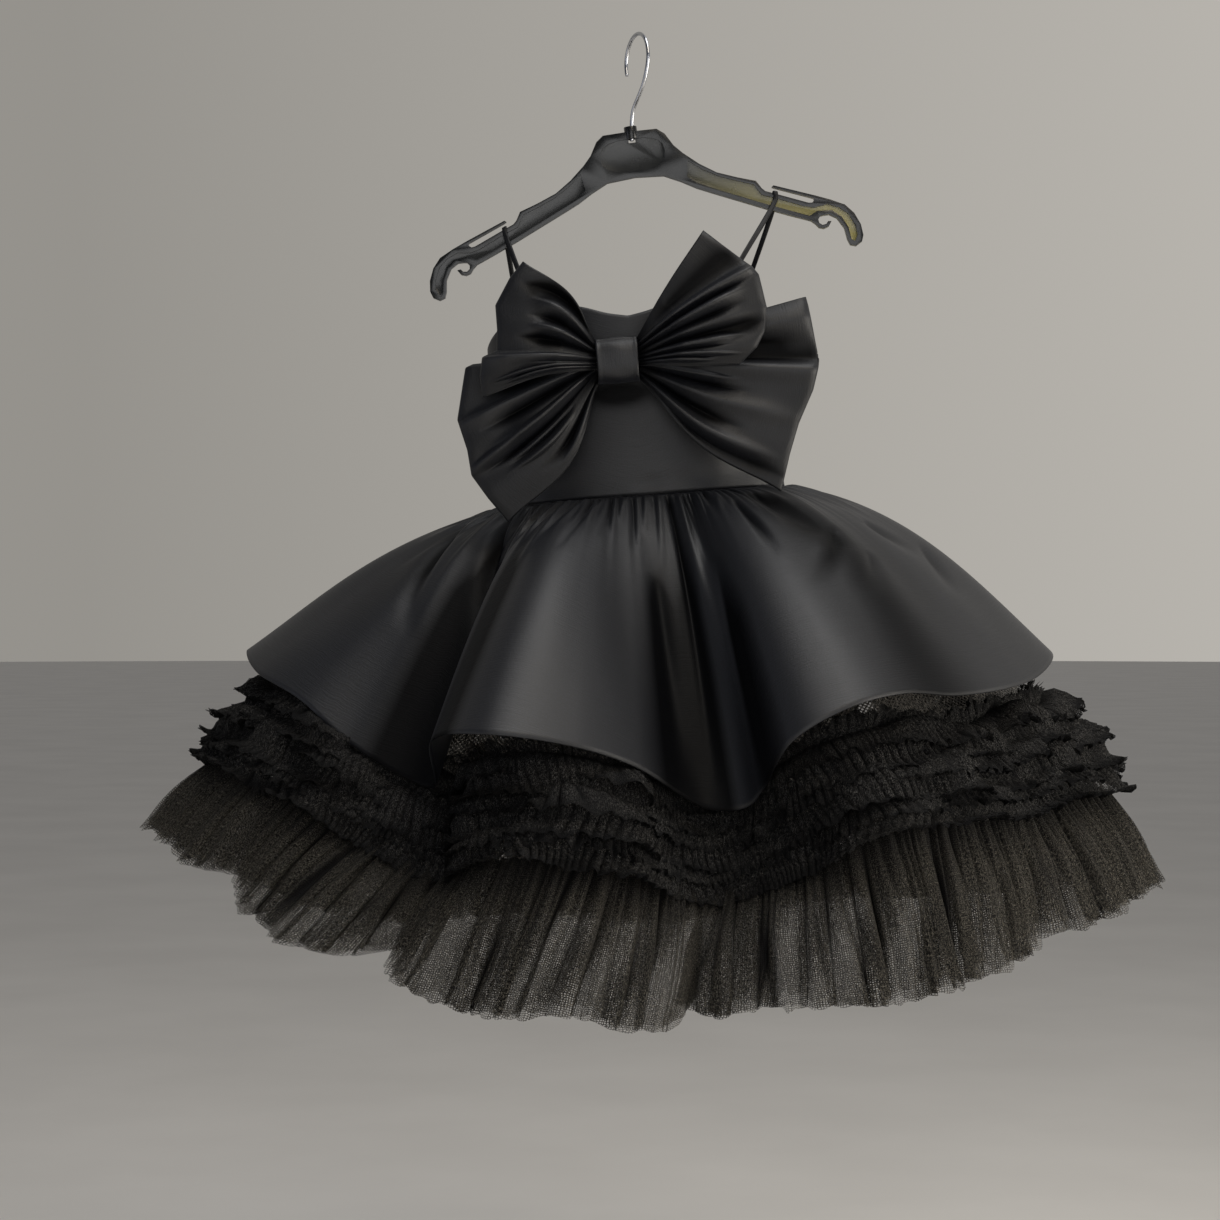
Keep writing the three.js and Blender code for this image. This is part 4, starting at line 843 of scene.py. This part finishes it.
def make_bow_loop(name, loop):
    across, fold_steps = 110, 5
    front = np.linspace(0, 0.965, 44)
    back = np.linspace(0.965, 0, 12)
    fold = np.linspace(-1, 1, fold_steps + 2)[1:-1]
    s = np.concatenate([front, np.full(fold_steps, 1.0), back])
    layer = np.concatenate([-np.ones(len(front)), fold, np.ones(len(back))])
    s[len(front):len(front) + fold_steps] = 0.965 + 0.035 * np.sqrt(1 - fold**2)
    v = np.linspace(0, 1, across)
    rows, *columns = zip(*loop["rows"])
    out_x, out_z = (np.interp(v, rows, column)[None] for column in columns[:2])
    arch, lift = (eased(v, rows, column)[None] for column in columns[2:])
    root_x, root_top, root_bottom, root_y = loop["root"]
    root_z = (root_top + (root_bottom - root_top) * v)[None]
    s, layer = s[:, None], layer[:, None]
    run_x, run_z = out_x - root_x, out_z - root_z
    length = np.hypot(run_x, run_z)
    bend = arch * np.sin(np.pi * s) ** 1.5
    x = root_x + run_x * s + run_z / length * bend
    z = root_z + run_z * s - run_x / length * bend
    forward = (loop["out_y"] - root_y) * np.minimum(1, s / 0.35)
    raised = lift * np.sin(np.pi * (0.06 + 0.72 * s))
    half_gap = layer * (2 + (loop["puff"] - 2) * np.sin(np.pi * s))
    rise = np.zeros_like(x)
    for at_root, at_end, start, stop, over, under, height in loop["pleats"]:
        off = v[None] - (at_root + (at_end - at_root) * s)
        fade = np.clip((stop - s) / 0.32, 0, 1)
        fade = fade * fade * (3 - 2 * fade)
        grow = np.clip(0.2 + (s - start) / 0.25, 0.2 if start == 0 else 0, 1)
        wide = np.where(off < 0, over, under) * (0.8 + 0.7 * s) * (0.35 + 0.65 * fade)
        rise = rise + 1.5 * height * fade * grow * np.exp(-np.abs(off / wide) ** 1.6)
    front_only = np.clip(0.3 - 0.7 * layer, 0, 1)
    y = root_y + forward - raised + half_gap - rise * front_only
    # Painted shade on the loop's front: darker all over, most near the knot and in the troughs, a little less
    # on the ridges.
    hollow = (0.32 + 0.75 * np.clip(1 - s / 0.22, 0, 1)
              - np.minimum(rise, 0) / 4.2 - 0.09 * np.maximum(rise, 0))
    piece = sheet_mesh(f"{name}_satin", [np.stack([x, y, z], -1)], "Duchess satin",
                       hollow=[front_only * hollow])
    thicken(piece, SATIN_THICKNESS)
    return belongs(piece, "satin", name)


def make_bow_knot():
    angle = np.linspace(0, 2 * np.pi, 145)[None]
    across = np.linspace(-0.5, 0.5, 31)[:, None]
    wrinkle = np.sin(5 * angle + 6 * across) * np.cos(3 * across)
    pinch = 1 + 0.05 * np.cos(np.pi * across) ** 2 + 0.012 * wrinkle
    seam = -1.1 * np.exp(-(((angle - 1.05) / 0.045) ** 2))
    rolled_edge = 0.3 * np.exp(-(((np.abs(across) - 0.46) / 0.03) ** 2))

    def squared(value):
        return np.sign(value) * np.abs(value) ** 0.72

    y = KNOT_Y - (KNOT_HALF_DEPTH * pinch + rolled_edge + seam) * squared(np.cos(angle))
    z = KNOT_Z + (KNOT_HALF_HEIGHT * pinch + rolled_edge + seam) * squared(np.sin(angle))
    x = KNOT_X + KNOT_WIDTH * across * (1 + 0.02 * np.sin(3 * angle))
    grid = np.stack([x + 0 * y, y, z], -1)
    piece = sheet_mesh("bow_knot_satin", [grid], "Duchess satin")
    apply_modifier(piece, "Join", "WELD", merge_threshold=0.00005)
    thicken(piece, KNOT_THICKNESS)
    return belongs(piece, "satin", "bow_knot")


# ---------------------------------------------------------------- hard pieces


def copy_of_node(name, node, material, slot, bevel, levels, body=BODY):
    """A finer copy of a CAD node: its loose triangles are merged, and its edges are rounded."""
    piece = bpy.data.objects.new(name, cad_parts[node].data.copy())
    bpy.context.scene.collection.objects.link(piece)
    for key in list(piece.keys()):
        del piece[key]
    select_only(piece)
    bpy.ops.object.mode_set(mode="EDIT")
    bpy.ops.mesh.select_all(action="SELECT")
    bpy.ops.mesh.remove_doubles(threshold=0.00002)
    bpy.ops.mesh.tris_convert_to_quads(face_threshold=math.radians(1), shape_threshold=math.radians(180))
    bpy.ops.mesh.customdata_custom_splitnormals_clear()
    bpy.ops.object.mode_set(mode="OBJECT")
    if bevel:
        apply_modifier(piece, "Round edges", "BEVEL", width=bevel * MM, segments=3, limit_method="ANGLE",
                       angle_limit=math.radians(32), use_clamp_overlap=True)
    if levels:
        apply_modifier(piece, "Smooth form", "SUBSURF", levels=levels, render_levels=levels)
    select_only(piece)
    if levels:
        bpy.ops.object.shade_smooth()
    else:
        bpy.ops.object.shade_smooth_by_angle(angle=math.radians(40))
    piece.data.materials.clear()
    piece.data.materials.append(material_named(material))
    belongs(piece, slot, node, body=body)
    return piece


def make_zip_teeth():
    """Coil teeth down the tape's middle: one tooth is modelled, then repeated by a modifier."""
    pitch = 1.6 * MM
    top = in_world(bodice_point(np.array(180.0), np.array(112.0)))
    bottom = in_world(bodice_point(np.array(180.0), np.array(4.0)))
    count = int(np.linalg.norm(bottom - top) / pitch)
    step = (bottom - top) / count
    bpy.ops.object.select_all(action="DESELECT")
    bpy.ops.mesh.primitive_cube_add(size=1, location=(top[0], top[1] - 0.9 * MM, top[2]))
    teeth = bpy.context.object
    teeth.name = "zip_teeth"
    bpy.ops.object.mode_set(mode="EDIT")
    bpy.ops.mesh.select_all(action="SELECT")
    bpy.ops.transform.resize(value=(2.6 * MM, 0.7 * MM, 0.8 * MM))
    bpy.ops.mesh.bevel(offset=0.15 * MM, segments=1, affect="EDGES")
    bpy.ops.object.mode_set(mode="OBJECT")
    bpy.ops.object.transform_apply(location=True, rotation=True, scale=True)
    apply_modifier(teeth, "Repeat", "ARRAY", count=count, use_relative_offset=False, use_constant_offset=True,
                   constant_offset_displace=step)
    teeth.data.materials.append(material_named("Lacquered zinc"))
    return belongs(teeth, "zip_metal")


# ---------------------------------------------------------------- settings


def size_property(label, text, default):
    return bpy.props.FloatProperty(name=label, description=text, default=default, min=0.05)


def colour_property(label, text, hex_colour):
    return bpy.props.FloatVectorProperty(name=label, description=text, default=linear(hex_colour), size=4,
                                         subtype="COLOR", min=0.0, max=1.0)


class PAGEANT_PG_sizes(bpy.types.PropertyGroup):
    satin_rib: size_property("Satin rib", "Spacing of the satin's weft ribs as drawn, in millimetres", 1.1)
    tulle_cell: size_property("Tulle cell", "Width of the tulle's cells as drawn, in millimetres", 1.5)
    net_cell: size_property("Net cell", "Width of the hard net's cells as drawn, in millimetres", 2.5)
    edge: size_property("Moulded edge", "Rounding of the hanger's edges, in millimetres", 0.45)


class PAGEANT_PG_colours(bpy.types.PropertyGroup):
    satin: colour_property("Satin", "Colour in the satin's hollows", "#050608")
    satin_light: colour_property("Satin thread", "Colour of the satin's raised threads", "#13151d")
    satin_sheen: colour_property("Satin sheen", "Tint of the satin's sheen", "#8d93a6")
    tulle: colour_property("Tulle", "Colour of the tulle's threads", "#080707")
    tulle_light: colour_property("Tulle glint", "Colour of the tulle's lit threads", "#767166")
    # The gathered tulle's colours are darker than the tulle's: painted shade for the short ruffles' deep
    # gathers.
    ruche_shaded: colour_property("Gathered tulle", "Colour deep in the short ruffles' folds", "#030304")
    ruche_shaded_glint: colour_property("Gathered tulle glint", "Colour of their lit threads", "#64625f")
    net: colour_property("Net", "Colour of the hard net", "#1b1a19")
    net_light: colour_property("Net glint", "Colour of the hard net's lit threads", "#8c8780")
    plastic: colour_property("Plastic", "Colour of the hanger's web", "#232422")
    plastic_end: colour_property("Plastic end", "Colour at the end of the right arm", "#a8a066")
    plastic_rim: colour_property("Plastic rim", "Colour of the hanger's rims", "#0d0e0c")
    steel: colour_property("Steel", "Colour of the hook's plating", "#c9cbd0")
    zinc: colour_property("Zinc", "Colour of the zip's metal", "#17171a")
    tape: colour_property("Tape", "Colour of the zip's tape", "#101014")


# ---------------------------------------------------------------- operators


class PAGEANT_OT_bodice(bpy.types.Operator):
    """Builds the bodice's front and its two back panels"""

    bl_idname = "pageant.bodice"
    bl_label = "Bodice"

    def execute(self, context):
        seam, back = 90, 179.72
        front = make_bodice_panel("bodice_front_satin", "bodice_front", -seam + 0.3, seam - 0.3, 150)
        right = make_bodice_panel("bodice_back_right_satin", "bodice_back_right", seam + 0.3, back, 75)
        left = make_bodice_panel("bodice_back_left_satin", "bodice_back_left", -back, -seam - 0.3, 75)
        return {"FINISHED"}


class PAGEANT_OT_overskirt(bpy.types.Operator):
    """Builds the gathered satin overskirt, front and back"""

    bl_idname = "pageant.overskirt"
    bl_label = "Overskirt"

    def execute(self, context):
        for end, place in halves(OVERSKIRT, 400, OVERSKIRT_ROUND).items():
            piece = belongs(make_overskirt(end, place, 72), "satin", f"overskirt_{end}")
        return {"FINISHED"}


class PAGEANT_OT_petticoat(bpy.types.Operator):
    """Builds the petticoat's hard net, its three short ruffles and its long hem ruffle"""

    bl_idname = "pageant.petticoat"
    bl_label = "Petticoat"

    def execute(self, context):
        for end, place in halves(PETTICOAT, 220, PETTICOAT_ROUND).items():
            grid = PETTICOAT.grid(place, np.linspace(0, 1, 36))
            net = belongs(sheet_mesh(f"net_base_{end}_net", [grid], "Hard net"), "net", f"net_base_{end}")
        trees = satin_trees()
        for k, (name, *section) in enumerate(SHORT_RUFFLES, 1):
            for end, place in halves(PETTICOAT, 1000, PETTICOAT_ROUND).items():
                ruffle = make_short_ruffle(f"{name}_{end}_tulle", *section, place, 100 * k, trees)
                belongs(ruffle, "tulle", f"{name}_{end}")
        for end, place in halves(PETTICOAT, 1150, PETTICOAT_ROUND).items():
            ruffle = belongs(make_hem_ruffle(end, place), "tulle", f"hem_ruffle_{end}")
        return {"FINISHED"}


class PAGEANT_OT_bow(bpy.types.Operator):
    """Builds the bow's four loops and the band round its middle"""

    bl_idname = "pageant.bow"
    bl_label = "Bow"

    def execute(self, context):
        for name, loop in BOW_LOOPS.items():
            piece = make_bow_loop(name, loop)
        knot = make_bow_knot()
        return {"FINISHED"}


class PAGEANT_OT_straps(bpy.types.Operator):
    """Builds the shoulder straps, each looped over the hanger's arm"""

    bl_idname = "pageant.straps"
    bl_label = "Straps"

    def execute(self, context):
        for side in ("left", "right"):
            strap = copy_of_node(f"strap_{side}_satin", f"strap_{side}", "Duchess satin", "satin", 0, 2)
            # Painted shade all over the straps: darker and with less sheen.
            shade = strap.data.attributes.new("hollow", "FLOAT", "POINT").data
            shade.foreach_set("value", np.full(len(shade), 0.6, np.float32))
        return {"FINISHED"}


class PAGEANT_OT_hanger(bpy.types.Operator):
    """Builds the moulded hanger and its wire hook"""

    bl_idname = "pageant.hanger"
    bl_label = "Hanger and hook"

    def execute(self, context):
        edge = context.scene.pageant_sizes.edge
        copy_of_node("hanger_moulding", "hanger", "Smoked polystyrene", "smoked_plastic", edge, 0)
        copy_of_node("hanger_hook_wire", "hanger_hook", "Plated steel wire", "hook_steel", 0, 2)
        return {"FINISHED"}


class PAGEANT_OT_zip(bpy.types.Operator):
    """Builds the centre-back zip: tape, teeth, slider and pull tab"""

    bl_idname = "pageant.zip"
    bl_label = "Zip"

    def execute(self, context):
        turn = 180 + np.linspace(-6, 6, 13)[None] + np.zeros((40, 1))
        height = np.linspace(116, 2, 40)[:, None] + np.zeros((1, 13))
        inside = bodice_point(turn, height) * np.array([0.97, 0.97, 1.0])
        tape = sheet_mesh("zip_tape_woven", [inside], "Zip tape")
        thicken(tape, TAPE_THICKNESS)
        belongs(tape, "zip_tape", "zip_tape")
        make_zip_teeth()
        copy_of_node("zip_slider_metal", "zip_slider", "Lacquered zinc", "zip_metal", 0.25, 0)
        copy_of_node("zip_pull_metal", "zip_pull", "Lacquered zinc", "zip_metal", 0.25, 0, body="pull")
        return {"FINISHED"}


# The studio's lamps: name, place, size, power and colour. All of them aim at the middle of the dress.
LAMPS = [
    ("Top", (0.45, -0.55, 1.6), 1.2, 17, "#ffffff"),
    ("Key", (0.85, -1.6, 1.3), 1.2, 13, "#fff2dc"),
    ("Right", (2.0, -0.6, -0.4), 1.2, 22, "#fff9ee"),
    ("Left", (-2.0, -0.9, -0.4), 1.2, 2, "#e6ecff"),
    ("Front", (0.2, -2.5, -0.2), 1.4, 9, "#ffffff"),
]
LIGHT_AIM = (0, 0, -0.42)
CAMERA_PLACE, CAMERA_LENS = (-0.020, -1.9, -0.425), 75.7


class PAGEANT_OT_stage(bpy.types.Operator):
    """Sets up the pale floor, the soft studio light and the camera"""

    bl_idname = "pageant.stage"
    bl_label = "Stage"

    floor_drop: bpy.props.FloatProperty(
        name="Floor drop", description="Height of the floor under the hook", default=-1.05, unit="LENGTH")

    def execute(self, context):
        bpy.ops.object.select_all(action="DESELECT")
        bpy.ops.mesh.primitive_circle_add(vertices=96, radius=30, fill_type="NGON",
                                          location=(0, 0, self.floor_drop))
        floor = bpy.context.object
        floor.name = "floor"
        floor.data.materials.append(material_named("Pale studio floor"))
        world = bpy.data.worlds.new("Studio air")
        world.use_nodes = True
        sky = world.node_tree
        facing_way = parted(sky, add_node(sky, "ShaderNodeTexCoord").outputs["Generated"])
        behind = reached(sky, facing_way["Y"], 0.0, 1.0, -0.05, 0.35)
        right = reached(sky, facing_way["X"], 0.0, 0.2, -0.2, 0.3)
        wall = reached(sky, behind, 0.10, 0.30)
        bright = maths(sky, "MULTIPLY_ADD", right, reached(sky, behind, 0.5, 1.0), wall)
        tint = two_tones(sky, behind, linear("#e3e9f8"), linear("#fffaf1"), 0, 1)
        air = sky.nodes["Background"]
        sky.links.new(tint, air.inputs["Color"])
        sky.links.new(bright, air.inputs["Strength"])
        context.scene.world = world
        for name, place, size, power, colour in LAMPS:
            bpy.ops.object.light_add(type="AREA", location=place)
            lamp = bpy.context.object
            lamp.name = name
            lamp.data.size = size
            lamp.data.energy = power
            lamp.data.color = linear(colour)[:3]
            aim = Vector(LIGHT_AIM) - Vector(place)
            lamp.rotation_euler = aim.to_track_quat("-Z", "Y").to_euler()
        bpy.ops.object.camera_add(location=CAMERA_PLACE, rotation=(math.pi / 2, 0, 0))
        camera = bpy.context.object
        camera.data.lens = CAMERA_LENS
        camera.data.sensor_width = 36
        context.scene.camera = camera
        context.scene.view_settings.view_transform = "Standard"
        context.scene.cycles.transparent_max_bounces = 14
        return {"FINISHED"}


class PAGEANT_PT_panel(bpy.types.Panel):
    """Lists the dress's pieces and settings"""

    bl_label = "Pageant dress"
    bl_idname = "PAGEANT_PT_panel"
    bl_space_type = "VIEW_3D"
    bl_region_type = "UI"
    bl_category = "Pageant dress"

    def draw(self, context):
        for group in (context.scene.pageant_sizes, context.scene.pageant_colours):
            for name in group.bl_rna.properties.keys():
                if name not in ("rna_type", "name"):
                    self.layout.prop(group, name)
        for operator in OPERATORS:
            self.layout.operator(operator.bl_idname)


OPERATORS = (PAGEANT_OT_stage, PAGEANT_OT_bodice, PAGEANT_OT_overskirt, PAGEANT_OT_petticoat, PAGEANT_OT_bow,
             PAGEANT_OT_straps, PAGEANT_OT_hanger, PAGEANT_OT_zip)
CLASSES = (PAGEANT_PG_sizes, PAGEANT_PG_colours, *OPERATORS, PAGEANT_PT_panel)


def register():
    for item in CLASSES:
        bpy.utils.register_class(item)
    bpy.types.Scene.pageant_sizes = bpy.props.PointerProperty(type=PAGEANT_PG_sizes)
    bpy.types.Scene.pageant_colours = bpy.props.PointerProperty(type=PAGEANT_PG_colours)


def unregister():
    del bpy.types.Scene.pageant_colours
    del bpy.types.Scene.pageant_sizes
    for item in reversed(CLASSES):
        bpy.utils.unregister_class(item)


def main():
    register()
    bpy.ops.pageant.stage()
    bpy.ops.pageant.bodice()
    bpy.ops.pageant.overskirt()
    bpy.ops.pageant.petticoat()
    bpy.ops.pageant.bow()
    bpy.ops.pageant.straps()
    bpy.ops.pageant.hanger()
    bpy.ops.pageant.zip()


if __name__ == "__main__":
    main()
